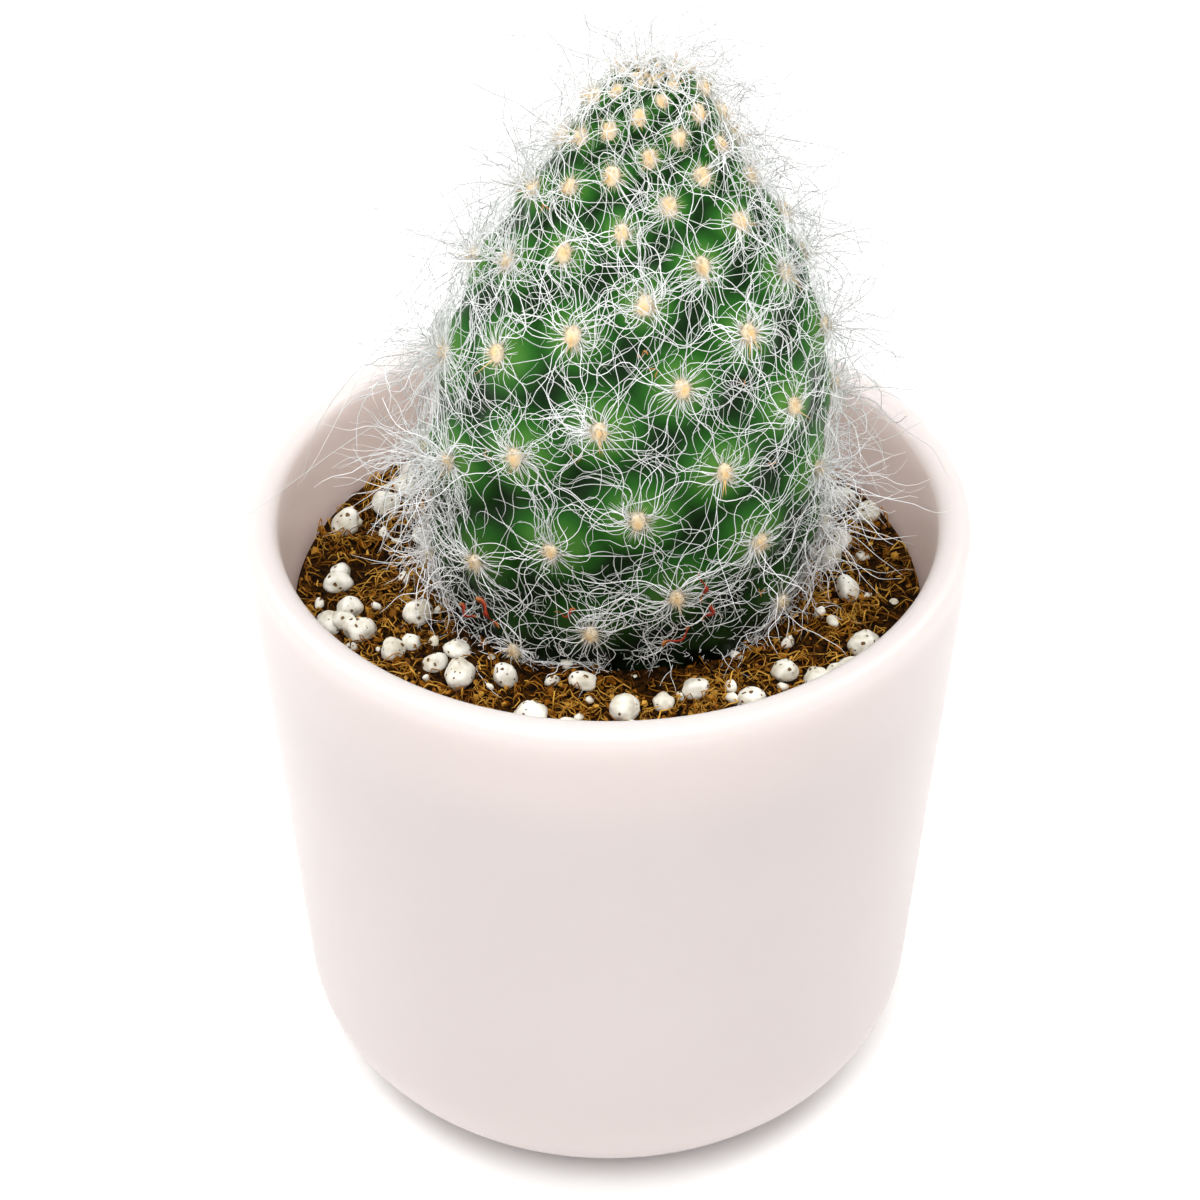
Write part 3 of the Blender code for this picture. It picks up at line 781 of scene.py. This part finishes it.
# Felt tufts
tuft = {
    "seed": 3, "size": (0.84 * mm, 1.12 * mm, 0.7 * mm), "smallest": 0.62, "largest": 0.96,
    "varied": (0.88, 1.08), "roomy": 3.6 * mm, "lift": 0.3 * mm, "roughness": 0.3, "felt": 88,
    "feltLength": (0.5 * mm, 1.3 * mm),
    "feltRadius": 0.048 * mm, "feltLean": (25, 100), "ruffled": 0.25, "strand": 2600.0,
    "core": "#E2AC5C", "cream": "#EAD0A2", "pale": "#E9E0CE",
}


def feltMaterial():
    # packed short wool of an areole: dry and matt, cream all over, with a tan patch where the
    # bristles wait
    made, shader = newMaterial("packedAreoleFelt", Roughness=0.9, IOR=1.4, Sheen_Weight=0.25)
    place = addNode(made, "TexCoord", out="Object")
    tint = addNode(made, "Attribute", out="Fac", attribute_name="tint")
    stops = [(0.0, tuft["core"]), (0.35, tuft["cream"]), (1.0, tuft["pale"])]
    colour = addNode(made, "ValToRGB", {"Fac": tint}, stops=stops)
    strands = addNode(made, "TexNoise", {"Vector": place},
                      {"Scale": tuft["strand"], "Detail": 3.0, "Roughness": 0.7})
    bump = addNode(made, "Bump", {"Height": strands}, {"Strength": 0.5, "Distance": 0.12 * mm})
    connect(made, shader, Base_Color=colour, Normal=bump)
    return made


def makeTufts(shape, seats):
    rng = np.random.default_rng(tuft["seed"])
    centre = shape.point(seats.along, seats.turn, seats.lift + tuft["lift"])
    size = np.clip(seats.spacing / tuft["roomy"], tuft["smallest"], tuft["largest"])
    size = size * rng.uniform(*tuft["varied"], seats.count)
    basis = np.stack([seats.across, seats.up, seats.normal], 1) * size[:, None, None]
    felt = feltMaterial()
    ball, faces = roundBall(2)
    pads, tints = [], []
    for own in basis:
        seat = rng.uniform(0, 90, 3)
        rough = np.array([1 + tuft["roughness"] * noise.noise(Vector(p * 1.5 + seat)) for p in ball])
        pads.append((ball * rough[:, None] * np.array(tuft["size"])) @ own)
        spot = np.array([rng.uniform(-0.3, 0.3), rng.uniform(-0.4, 0.3), 0.95])   # where the tan patch is
        tints.append(np.clip(np.linalg.norm(ball - spot, axis=1) * 0.75 - 0.02, 0, 0.75))
    piece = copiedBalls(np.array(pads) + centre[:, None], faces, np.concatenate(tints))
    finishPiece(piece, "feltPads", felt, "cactus")

    which = np.repeat(np.arange(seats.count), tuft["felt"])
    count = len(which)
    spin, lean = rng.uniform(0, fullTurn, count), np.radians(rng.uniform(*tuft["feltLean"], count))
    local = np.stack([np.cos(spin) * np.sin(lean), np.sin(spin) * np.sin(lean), np.cos(lean)], -1)
    start = centre[which] + np.einsum("nk,nkc->nc", local * np.array(tuft["size"]) * 0.8, basis[which])
    heading = unit(np.einsum("nk,nkc->nc", local, basis[which]))
    length = rng.uniform(*tuft["feltLength"], count) * size[which]
    length *= np.interp(lean, [0.3, 1.4], [0.6, 1.1])
    length *= np.clip(seats.spacing[which] / tuft["roomy"], 0.4, 1)
    heading = unit(heading + tuft["ruffled"] * rng.normal(0, 1, (count, 3)))
    shares = np.linspace(0, 1, 2)
    paths = straight(start, heading, length, shares)
    radii = tuft["feltRadius"] * np.interp(shares, [0, 1], [1, 0.1])[None].repeat(count, 0)
    tints = np.clip(0.5 + 0.6 * shares[None] + rng.normal(0, 0.08, count)[:, None], 0, 1)
    finishPiece(tubes(paths, radii, tints), "feltHairs", felt, "cactus")
    say(f"tufts: {seats.count}")


# Bristles
bristle = {
    "seed": 12, "most": 2, "length": (1.6 * mm, 3.0 * mm), "radius": 0.08 * mm, "lift": 0.6 * mm,
    "below": 0.45 * mm,
    "out": (0.35, 1.1), "down": (0.2, 1.0), "sideways": 0.35, "sag": 0.08,
    "crown": 0.8, "crownDown": 0.2, "crownLength": 0.6, "base": "#E9C98A", "tip": "#9A5A1E",
}


def bristleMaterial():
    # glochids: horny yellow bristles with brown, barbed points
    stops = [(0.35, bristle["base"]), (1.0, bristle["tip"])]
    return tintMaterial("hornyYellowBristle", stops, Roughness=0.4, IOR=1.5)


def makeBristles(shape, seats):
    rng = np.random.default_rng(bristle["seed"])
    each = rng.integers(0, bristle["most"] + 1, seats.count)
    which = np.repeat(np.arange(seats.count), each)
    normal, up, across = seats.normal[which], seats.up[which], seats.across[which]
    crown = seats.along[which] / shape.length > bristle["crown"]
    count = len(which)
    side, down = rng.normal(0, bristle["sideways"], count), rng.uniform(*bristle["down"], count)
    down = down * np.where(crown, bristle["crownDown"], 1)
    heading = normal * rng.uniform(*bristle["out"], count)[:, None] - up * down[:, None]
    heading = unit(heading + across * side[:, None])
    start = seats.centre[which] + normal * bristle["lift"] - up * bristle["below"]
    shares = np.linspace(0, 1, 4)
    length = rng.uniform(*bristle["length"], count) * np.where(crown, bristle["crownLength"], 1)
    paths = straight(start, heading, length, shares)
    paths += up[:, None] * (-bristle["sag"] * length[:, None] * shares ** 2)[..., None]
    radii = bristle["radius"] * np.interp(shares, [0, 0.6, 1], [1, 0.8, 0.1])[None].repeat(count, 0)
    piece = tubes(paths, radii, np.repeat(shares[None], count, 0))
    finishPiece(piece, "bristles", bristleMaterial(), "cactus")
    say(f"bristles: {count}")


# Dried scraps caught in the hair
scrap = {
    # turn in degrees, height above the soil, lift off the skin and length in mm, and tilt in radians
    "places": ((-45, 6.2, 2.4, 4.2, 0.7), (-54, 4.7, 2.4, 2.6, 1.3), (-18, 9.2, 2.4, 2.4, 1.9),
               (24, 12.4, 2.6, 4.2, 0.1), (18, 6.0, 2.6, 4.2, -0.9), (27, 9.0, 2.8, 2.4, -0.4),
               (150, 7.0, 2.4, 4.0, 0.4), (-140, 9.0, 2.2, 3.4, 1.1)),
    "seed": 8, "flecks": 22, "fleckLeast": (-180, 4, 1.2, 0.7, -3), "fleckMost": (180, 52, 2.2, 1.6, 3),
    "fleckWidth": 0.4, "points": 9, "width": 0.40 * mm, "uneven": (0.35, 1.25), "flat": 0.14,
    "curl": 0.35 * mm, "arch": 0.3 * mm, "red": "#A02F16", "pale": "#CF8F4E",
}


def scrapMaterial():
    # dried bits of old flower: papery, curled, brick red
    stops = [(0.5, scrap["red"]), (1.0, scrap["pale"])]
    return tintMaterial("driedPetalScrap", stops, Roughness=0.6, IOR=1.4)


def makeScraps(shape):
    rng = np.random.default_rng(scrap["seed"])
    count = scrap["flecks"]
    flecks = rng.uniform(scrap["fleckLeast"], scrap["fleckMost"], (count, 5))
    turn, height, lift, length, tilt = np.concatenate([scrap["places"], flecks]).T
    along = shape.alongAt(height * mm)
    centre, normal = shape.point(along, turn, lift * mm), shape.normal(along, turn)
    heading = turned(uphill(normal), normal, tilt)
    side = np.cross(normal, heading)
    shares = np.linspace(-0.5, 0.5, scrap["points"])
    paths = straight(centre, heading, length * mm, shares)
    curl = np.sin(shares[None] * 7 + rng.uniform(0, 6, len(turn))[:, None])
    paths += side[:, None] * (scrap["curl"] * curl)[..., None]
    paths += normal[:, None] * (scrap["arch"] * np.cos(shares * 9))[None, :, None]
    notches = np.abs(np.sin(shares[None] * 8 + rng.uniform(0, 6, len(turn))[:, None]))
    radii = scrap["width"] * (0.35 + 0.65 * notches)
    radii *= rng.uniform(*scrap["uneven"], radii.shape)
    radii[-count:] *= scrap["fleckWidth"]
    tints = np.clip(np.abs(shares)[None] * 2 + rng.normal(0, 0.1, radii.shape), 0, 1)
    tints[-count:] = 1
    piece = tubes(paths, radii, tints, side, scrap["flat"])
    finishPiece(piece, "driedScraps", scrapMaterial(), "cactus")


# Hairs: what all kinds share
hair = {
    "seed": 7, "reach": 9 * mm, "fewest": 0.08, "floor": 0.3 * mm, "wallGap": 0.4 * mm,
    "overRim": 2 * mm, "tuftClear": 1.5 * mm, "rootLift": 0.4 * mm, "clear": 0.4 * mm, "smoothing": 2,
    "thickness": (0.65, 1.45),
    "brightening": 2.6 * mm, "farHeights": (70 * mm, 86 * mm),
    # shadedNearSkin is painted shade and green on hairs close to the skin; far is painted greyer on hairs
    # far out above the rim
    "shadedNearSkin": "#BDCBB6", "bright": "#FFFFFF", "far": "#CACCCB",
}
survey = {"step": 0.5 * mm, "reach": 62 * mm, "heights": (-20 * mm, 100 * mm), "slope": 0.25 * mm}


def woolMaterial():
    # spines that grew as long soft hairs: hollow, white and glossy like spun glass; their tint is painted
    # light: painted shade and green on the ones close to the skin, white off it, greyer far out above the
    # rim
    stops = [(0.0, hair["shadedNearSkin"]), (0.35, hair["bright"]), (0.7, hair["bright"]), (1.0, hair["far"])]
    return tintMaterial("hollowWhiteSpineHair", stops, Roughness=0.4, IOR=1.45)


class Surroundings:
    # how far points are above the smooth stem, and which way is out, from a table of its outline
    def __init__(self, shape):
        r = np.arange(0, survey["reach"], survey["step"])
        z = np.arange(*survey["heights"], survey["step"])
        outline = np.stack([shape.widths, shape.heights], -1)
        grid = np.stack(np.meshgrid(r, z, indexing="ij"), -1).reshape(-1, 2)
        nearest = np.full(len(grid), 1.0)
        for start, end in zip(outline[:-1], outline[1:]):
            way = end - start
            share = np.clip(((grid - start) @ way) / max(way @ way, 1e-16), 0, 1)
            nearest = np.minimum(nearest, np.linalg.norm(grid - start - share[:, None] * way, axis=1))
        rising = shape.heights + np.arange(len(outline)) * 1e-12   # no two heights alike
        within = grid[:, 0] < np.interp(grid[:, 1], rising, shape.widths)
        within &= (grid[:, 1] > shape.heights[0]) & (grid[:, 1] < shape.heights[-1])
        self.table = np.where(within, -nearest, nearest).reshape(len(r), len(z))

    def lookUp(self, r, z):
        i = np.clip(r / survey["step"], 0, self.table.shape[0] - 1.001)
        j = np.clip((z - survey["heights"][0]) / survey["step"], 0, self.table.shape[1] - 1.001)
        a, b = i.astype(int), j.astype(int)
        u, v = i - a, j - b
        t = self.table
        low = t[a, b] * (1 - u) + t[a + 1, b] * u
        high = t[a, b + 1] * (1 - u) + t[a + 1, b + 1] * u
        return low * (1 - v) + high * v

    def above(self, points):
        # distance from the smooth stem, and the outward direction
        z = points[:, 2] - pot["soilLevel"]
        middle = stem["foot"][0] + stem["lean"] * np.clip(z, 0, stem["height"]) / stem["height"]
        x = points[:, 0] - middle
        y = (points[:, 1] - stem["foot"][1]) / stem["thickness"]
        r = np.hypot(x, y) + 1e-9
        h = survey["slope"]
        overR = (self.lookUp(r + h, z) - self.lookUp(np.maximum(r - h, 0), z)) / (2 * h)
        overZ = (self.lookUp(r, z + h) - self.lookUp(r, z - h)) / (2 * h)
        out = np.stack([overR * x / r, overR * y / r / stem["thickness"], overZ], -1)
        length = np.linalg.norm(out, axis=1, keepdims=True)
        return self.lookUp(r, z) / length[:, 0], out / np.maximum(length, 1e-6)


class Coat:
    # the stem and its tufts, the draws and the material that all hairs share, and how they grow
    def __init__(self, shape, seats):
        self.shape, self.seats, self.around = shape, seats, Surroundings(shape)
        self.rng, self.material = np.random.default_rng(hair["seed"]), woolMaterial()
        self.tufts = np.arange(seats.count)
        self.size = np.clip(seats.spacing / hair["reach"], 0.5, 1)
        self.share = np.clip((seats.spacing / hair["reach"]) ** 2, hair["fewest"], 1)

    def fromTufts(self, which, spin, spread, sink):
        # where hairs leave their tufts, and the ways that they point along the skin
        seats = self.seats
        heading = turned(seats.up[which], seats.normal[which], spin)
        away = heading * (spread * self.size[which])[:, None]
        return seats.centre[which] + away + seats.normal[which] * sink, heading

    def fromFoot(self, along, turn):
        # roots on the lower stem, and the ways out and up from there
        out = self.shape.normal(along, turn)
        return self.shape.point(along, turn, hair["rootLift"]), out, uphill(out)

    def keepOut(self, points, least):
        # out of the stem, up off the soil and in from the pot's wall
        height, out = self.around.above(points)
        points = points + out * np.maximum(least - height, 0)[:, None]
        low = points[:, 2] < pot["soilLevel"] + hair["floor"] + soil["lump"]
        if low.any():
            here = soilHeight(self.shape, points[low, 0], points[low, 1]) + hair["floor"]
            points[low, 2] = np.maximum(points[low, 2], here)
        reach = np.hypot(points[:, 0], points[:, 1])
        inner = innerRadius(np.minimum(points[:, 2], pot["height"])) - hair["wallGap"]
        over = (reach > inner) & (points[:, 2] > pot["height"] - hair["overRim"])
        points[over, 2] = np.maximum(points[over, 2], pot["height"] + hair["wallGap"])
        limit = np.where(points[:, 2] < pot["height"], inner, 1.0)
        points[:, :2] *= np.minimum(1, limit / np.maximum(reach, 1e-9))[:, None]
        return points

    def roundTufts(self, points, own):
        # hairs part round the tufts of their neighbours
        away = points[:, None] - self.seats.centre[None]
        far = np.linalg.norm(away, axis=2)
        row = np.arange(len(points))
        far[row, own] = 1.0
        nearest = np.argmin(far, axis=1)
        near = far[row, nearest]
        push = np.maximum(hair["tuftClear"] - near, 0) / np.maximum(near, 0.2 * mm)
        return points + away[row, nearest] * push[:, None]

    def growAlong(self, kind, own, roots, normals, heading, length, climb, target, curl, sway, bob):
        # hairs that run over the skin: they wander sideways and keep near their own height
        points = kind["points"]
        paths = np.empty((len(roots), points, 3))
        paths[:, 0] = point = roots
        step = length / (points - 1)
        for i in range(1, points):
            height, out = self.around.above(point)
            share = min(1, i / 2)
            out = unit(normals * (1 - share) + out * share)
            heading = squareTo(out, heading)
            travelled = step * i
            sideways = turned(heading, out, wobble(sway, travelled) + curl * travelled)
            back = np.clip((target - height) / (3 * mm), -0.5, 0.5)   # to the height that it keeps
            lift = climb * max(0, 1 - i / 4) + back * min(1, i / 3) + wobble(bob, travelled)
            direction = leaned(sideways, out, lift)
            point = self.keepOut(point + direction * step[:, None], np.minimum(target, 0.7 * mm))
            if own is not None:
                point = self.roundTufts(point, own)
            paths[:, i] = point
        return paths

    def growOut(self, kind, roots, heading, length, cut):
        # hairs that stand away from the stem, then wander and sink towards their ends; the shorter
        # one is cut, the more tightly it curls
        count, points = len(roots), kind["points"]
        sway, swing = waves(self.rng, count, kind["bands"]), waves(self.rng, count, kind["bands"])
        paths = np.empty((count, points, 3))
        paths[:, 0] = point = roots
        step = length / (points - 1)
        sideA = unit(np.cross(heading, np.array([0.2, 0.4, 0.89])))
        sideB = np.cross(heading, sideA)
        turn = self.rng.normal(0, kind["turn"], count)
        for i in range(1, points):
            travelled = step * i / cut
            direction = turned(heading, sideB, turn * i / points) * (1 - kind["wander"] * i / points)
            direction += sideA * (wobble(sway, travelled) / cut)[:, None]
            direction += sideB * (wobble(swing, travelled) / cut)[:, None]
            direction[:, 2] -= kind["droop"] * i / points
            point = self.keepOut(point + unit(direction) * step[:, None], hair["clear"])
            paths[:, i] = point
        return paths

    def finish(self, name, paths, radius):
        # the tubes, fine at both ends, painted brighter the further that they stand off the skin and
        # greyer far off it above the rim
        rng, (count, points) = self.rng, paths.shape[:2]
        for _ in range(hair["smoothing"]):
            paths[:, 1:-1] = (paths[:, :-2] + 2 * paths[:, 1:-1] + paths[:, 2:]) / 4
        taper = np.interp(np.linspace(0, 1, points), [0, 0.08, 0.7, 1], [0.7, 1.0, 0.85, 0.3])
        radii = radius * rng.uniform(*hair["thickness"], count)[:, None] * taper[None]
        height = self.around.above(paths.reshape(-1, 3))[0].reshape(count, points)
        # painted shade and green near the skin, brightening off it
        tints = np.clip((height - hair["clear"]) / hair["brightening"], 0, 1)
        tints = tints * rng.uniform(0.7, 1.1, count)[:, None]
        # painted shade: hairs far off the skin above the rim go greyer, those lower down in the pot stay
        # white
        tints = np.minimum(tints, np.interp(paths[..., 2], hair["farHeights"], [0.6, 1]))
        piece = tubes(paths, radii, np.clip(tints, 0, 1))
        finishPiece(piece, name, self.material, "cactus")
        say(f"{name}: {count} hairs")


# Bursts of short hairs round each tuft; here and below, curl is in radians a metre, and a band of
# sway or bob holds its swing in radians and its shortest and longest wave
burst = {
    "each": 26, "length": (1.3 * mm, 3.3 * mm), "radius": 0.036 * mm, "points": 5,
    "spread": (0.6, 0.9), "sink": 0.15 * mm, "climb": (0.0, 0.35), "height": (0.5, 1.2), "curl": 40,
    "sway": [(0.12, (4 * mm, 8 * mm))], "bob": [(0.06, (3 * mm, 6 * mm))],
}


def makeBursts(coat):
    rng = coat.rng
    which = np.repeat(coat.tufts, np.round(burst["each"] * coat.share).astype(int))
    count = len(which)
    spin, spread = rng.uniform(0, fullTurn, count), rng.uniform(*burst["spread"], count) * mm
    roots, heading = coat.fromTufts(which, spin, spread, burst["sink"])
    paths = coat.growAlong(
        burst, which, roots, coat.seats.normal[which], heading,
        length=rng.uniform(*burst["length"], count) * coat.size[which],
        climb=rng.uniform(*burst["climb"], count),
        target=coat.seats.lift[which] * 0.5 + rng.uniform(*burst["height"], count) * mm,
        curl=rng.normal(0, burst["curl"], count),
        sway=waves(rng, count, burst["sway"]), bob=waves(rng, count, burst["bob"]),
    )
    coat.finish("hairBursts", paths, burst["radius"])


# Net of long hairs over the skin, loose or in locks whose strands keep together
net = {
    "pieces": 2, "loose": 21, "locks": 1.7, "strands": 5, "uneven": (0.45, 1.5), "points": 18,
    "radius": 0.047 * mm, "length": (8 * mm, 20 * mm), "varied": (0.8, 1.05), "spread": (0.5, 0.85),
    "sink": 0.25 * mm, "height": (0.15 * mm, 1.4 * mm), "least": 0.2 * mm, "climb": (0.1, 0.9), "curl": 75,
    "sway": [(0.75, (8 * mm, 15 * mm)), (0.55, (4 * mm, 8 * mm))], "bob": [(0.2, (4 * mm, 9 * mm))],
    "lockSpin": 0.2, "lockCurl": 18, "lockPhase": 0.3, "lockHeight": 0.25 * mm,
    "upper": 30 * mm, "upperMore": 1.15, "low": 9 * mm, "lowLength": 0.55, "lowCurl": 2.6,
}


def makeNet(coat):
    rng, seats = coat.rng, coat.seats
    uneven = coat.share * rng.uniform(*net["uneven"], seats.count)
    uneven *= np.where(seats.centre[:, 2] > pot["soilLevel"] + net["upper"], net["upperMore"], 1)
    locked = np.repeat(coat.tufts, np.round(net["locks"] * uneven).astype(int))
    loose = np.repeat(coat.tufts, np.round(net["loose"] * uneven).astype(int))
    groups = len(locked) + len(loose)
    strands = np.where(np.arange(groups) < len(locked), net["strands"], 1)
    member = np.repeat(np.arange(groups), strands)
    which = np.concatenate([locked, loose])[member]
    count = len(which)
    follows = (member < len(locked)).astype(float)
    spin = rng.uniform(0, fullTurn, groups)[member] + follows * rng.normal(0, net["lockSpin"], count)
    roots, heading = coat.fromTufts(which, spin, rng.uniform(*net["spread"], count) * mm, net["sink"])
    length = rng.uniform(*net["length"], groups)[member] * rng.uniform(*net["varied"], count)
    length *= np.clip(0.45 + 0.55 * coat.size[which], 0, 1)
    low = np.clip(1 - (seats.centre[which, 2] - pot["soilLevel"]) / net["low"], 0, 1)
    length *= 1 + (net["lowLength"] - 1) * low
    curl = rng.normal(0, net["curl"], groups)[member] + follows * rng.normal(0, net["lockCurl"], count)
    curl *= 1 + (net["lowCurl"] - 1) * low
    sway = [(a[member], w[member], p[member] + follows * rng.normal(0, net["lockPhase"], count))
            for a, w, p in waves(rng, groups, net["sway"])]
    target = rng.uniform(*net["height"], groups)[member]
    target = target + follows * rng.normal(0, net["lockHeight"], count)
    target = np.maximum(target, net["least"]) * coat.size[which] + seats.lift[which] * 0.6
    paths = coat.growAlong(
        net, which, roots, seats.normal[which], heading, length, target=target, curl=curl, sway=sway,
        climb=rng.uniform(*net["climb"], groups)[member], bob=waves(rng, count, net["bob"]),
    )
    for k, part in enumerate(np.array_split(rng.permutation(count), net["pieces"])):
        coat.finish(f"hairNet_{k + 1}", paths[part], net["radius"])


# Skirt of short, curly hairs round the stem's foot
skirt = {
    "count": 1150, "heights": (-0.5 * mm, 13 * mm), "length": (4 * mm, 8 * mm), "radius": 0.042 * mm,
    "points": 12, "climb": (0.1, 0.7), "height": (0.3 * mm, 1.3 * mm), "curl": 130,
    "sway": [(1.1, (4 * mm, 7 * mm))], "bob": [(0.3, (2.5 * mm, 5 * mm))],
}


def makeSkirt(coat):
    rng, count = coat.rng, skirt["count"]
    along = coat.shape.alongAt(rng.uniform(*skirt["heights"], count))
    roots, out, up = coat.fromFoot(along, rng.uniform(-180, 180, count))
    heading = turned(up, out, rng.uniform(0, fullTurn, count))
    paths = coat.growAlong(
        skirt, None, roots, out, heading,
        length=rng.uniform(*skirt["length"], count),
        climb=rng.uniform(*skirt["climb"], count),
        target=rng.uniform(*skirt["height"], count),
        curl=rng.normal(0, skirt["curl"], count),
        sway=waves(rng, count, skirt["sway"]), bob=waves(rng, count, skirt["bob"]),
    )
    coat.finish("hairSkirt", paths, skirt["radius"])


# Fuzz of hairs that stand out from the flanks and the back, a few of them long strays
fuzz = {
    "each": 56, "fewest": 0.15, "crowding": 1.4, "frontShare": 0.1, "points": 12, "radius": 0.051 * mm,
    "length": (7 * mm, 23 * mm), "spread": (0.2, 0.8), "sink": 0.4 * mm, "lean": (0.1, 1.3),
    "wander": 0.3, "droop": 0.2, "turn": 2.8,
    "bands": [(0.9, (6 * mm, 11 * mm)), (0.6, (3.6 * mm, 6 * mm))],
    "low": 28 * mm, "lowLength": 0.4, "high": 50 * mm, "strays": 0.08, "strayLength": 1.9,
}


def makeFuzz(coat):
    rng, normal = coat.rng, coat.seats.normal
    facing = np.where(normal[:, 1] < -0.6, fuzz["frontShare"], 1.0)
    lowFront = (normal[:, 1] < -0.4) & (coat.seats.centre[:, 2] < pot["soilLevel"] + fuzz["low"] / 2)
    roomy = np.clip(coat.seats.spacing / hair["reach"], 0, 1) ** fuzz["crowding"]
    each = fuzz["each"] * np.maximum(roomy, fuzz["fewest"]) * (facing * np.where(lowFront, 0, 1))
    which = np.repeat(coat.tufts, np.round(each).astype(int))
    count = len(which)
    spin, spread = rng.uniform(0, fullTurn, count), rng.uniform(*fuzz["spread"], count) * mm
    roots, heading = coat.fromTufts(which, spin, spread, fuzz["sink"])
    heading = unit(leaned(normal[which], heading, rng.uniform(*fuzz["lean"], count)))
    rise = roots[:, 2] - pot["soilLevel"]
    cut = np.interp(rise, [0, fuzz["low"]], [fuzz["lowLength"], 1])
    stray = (rng.random(count) < fuzz["strays"]) & (rise > fuzz["low"]) & (rise < fuzz["high"])
    length = rng.uniform(*fuzz["length"], count) * np.where(stray, fuzz["strayLength"], cut)
    coat.finish("hairFuzz", coat.growOut(fuzz, roots, heading, length, cut), fuzz["radius"])


# Veil of limp hairs that hang out low over the soil, short in front and most of them behind
veil = {
    "count": 1080, "heights": (0 * mm, 18 * mm), "backward": 0.7, "points": 15, "radius": 0.047 * mm,
    "length": (7 * mm, 18 * mm), "lean": (0.2, 1.4), "wander": 0.2, "droop": 0.5, "turn": 4.2,
    "bands": [(1.2, (5 * mm, 9 * mm)), (0.6, (3.6 * mm, 6 * mm))],
    "front": 55, "frontHeights": (-1 * mm, 3 * mm), "frontLength": 0.45,
}


def makeVeil(coat):
    rng, count = coat.rng, veil["count"]
    along = coat.shape.alongAt(rng.uniform(*veil["heights"], count))
    turn = rng.choice((-180, 180), count) * rng.uniform(0, 1, count) ** veil["backward"]
    front = np.abs(turn) < veil["front"]
    along[front] = rng.uniform(*(coat.shape.alongAt(h) for h in veil["frontHeights"]), front.sum())
    roots, out, up = coat.fromFoot(along, turn)
    heading = turned(up, out, rng.uniform(0, fullTurn, count))
    heading = unit(leaned(out, heading, rng.uniform(*veil["lean"], count)))
    cut = np.where(front, veil["frontLength"], 1)
    length = rng.uniform(*veil["length"], count) * cut
    coat.finish("hairVeil", coat.growOut(veil, roots, heading, length, cut), veil["radius"])


# Floor, lights and camera
studio = {
    "floor": "#FBFAF9", "floorSize": 6.0, "world": "#FFFFFF", "worldStrength": 0.72,
    "aim": (0, 0, 70 * mm),
    "lamps": (   # name, place, width in metres and power in watts
        ("topSoftbox", (0.0, -0.20, 1.10), 0.8, 4.2), ("leftSoftbox", (-0.60, 0.30, 0.75), 0.5, 3.3),
        ("rightSoftbox", (0.60, 0.30, 0.75), 0.5, 2.7), ("frontSoftbox", (-0.10, -0.55, 0.95), 0.6, 4.2),
    ),
    "lens": 105, "sensor": 36, "elevation": 37.85, "distance": 393.3 * mm, "target": 60.04 * mm,
    "shift": -8 / 1200,   # the pot stands 8 of the frame's 1200 pixels to the side
}


def lamp(name, place, width, power):
    data = bpy.data.lights.new(name, "AREA")
    data.shape = "DISK"
    data.size = width
    data.energy = power
    made = bpy.data.objects.new(name, data)
    made.location = place
    made.rotation_euler = (Vector(studio["aim"]) - Vector(place)).to_track_quat("-Z", "Y").to_euler()
    scene.collection.objects.link(made)


def makeStudio():
    nothingSelected()
    bpy.ops.mesh.primitive_plane_add(size=studio["floorSize"])
    floor = bpy.context.object
    floor.name = "floor"
    paper, shader = newMaterial("mattPaperSweep", Roughness=0.9, Base_Color=linear(studio["floor"]))
    floor.data.materials.append(paper)
    floor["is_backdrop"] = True
    scene.world = bpy.data.worlds.new("studio")
    scene.world.use_nodes = True
    sky = scene.world.node_tree.nodes["Background"]
    sky.inputs["Color"].default_value = linear(studio["world"])
    sky.inputs["Strength"].default_value = studio["worldStrength"]
    for settings in studio["lamps"]:
        lamp(*settings)
    data = bpy.data.cameras.new("camera")
    data.lens = studio["lens"]
    data.sensor_width = studio["sensor"]
    data.shift_x = studio["shift"]
    data.clip_start = 10 * mm
    camera = bpy.data.objects.new("camera", data)
    tilt = math.radians(studio["elevation"])
    away = Vector((0, -math.cos(tilt), math.sin(tilt)))
    camera.location = Vector((0, 0, studio["target"])) + away * studio["distance"]
    camera.rotation_euler = away.to_track_quat("Z", "Y").to_euler()
    scene.collection.objects.link(camera)
    scene.camera = camera


makeStudio()
makePot()
shape = StemShape()
places = tuftPlaces(shape)
makeSkin(shape, places)
makeSoil(shape)
makeFibres(shape)
makeCrumbs(shape)
makeGranules(shape)
say("soil")
seats = TuftSeats(shape, places)
makeTufts(shape, seats)
makeBristles(shape, seats)
makeScraps(shape)
coat = Coat(shape, seats)
for makeHairs in (makeBursts, makeNet, makeSkirt, makeFuzz, makeVeil):
    makeHairs(coat)
total = sum(sum(len(p.vertices) - 2 for p in o.data.polygons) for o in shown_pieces() if o.type == "MESH")
say(f"triangles in all: {total}")
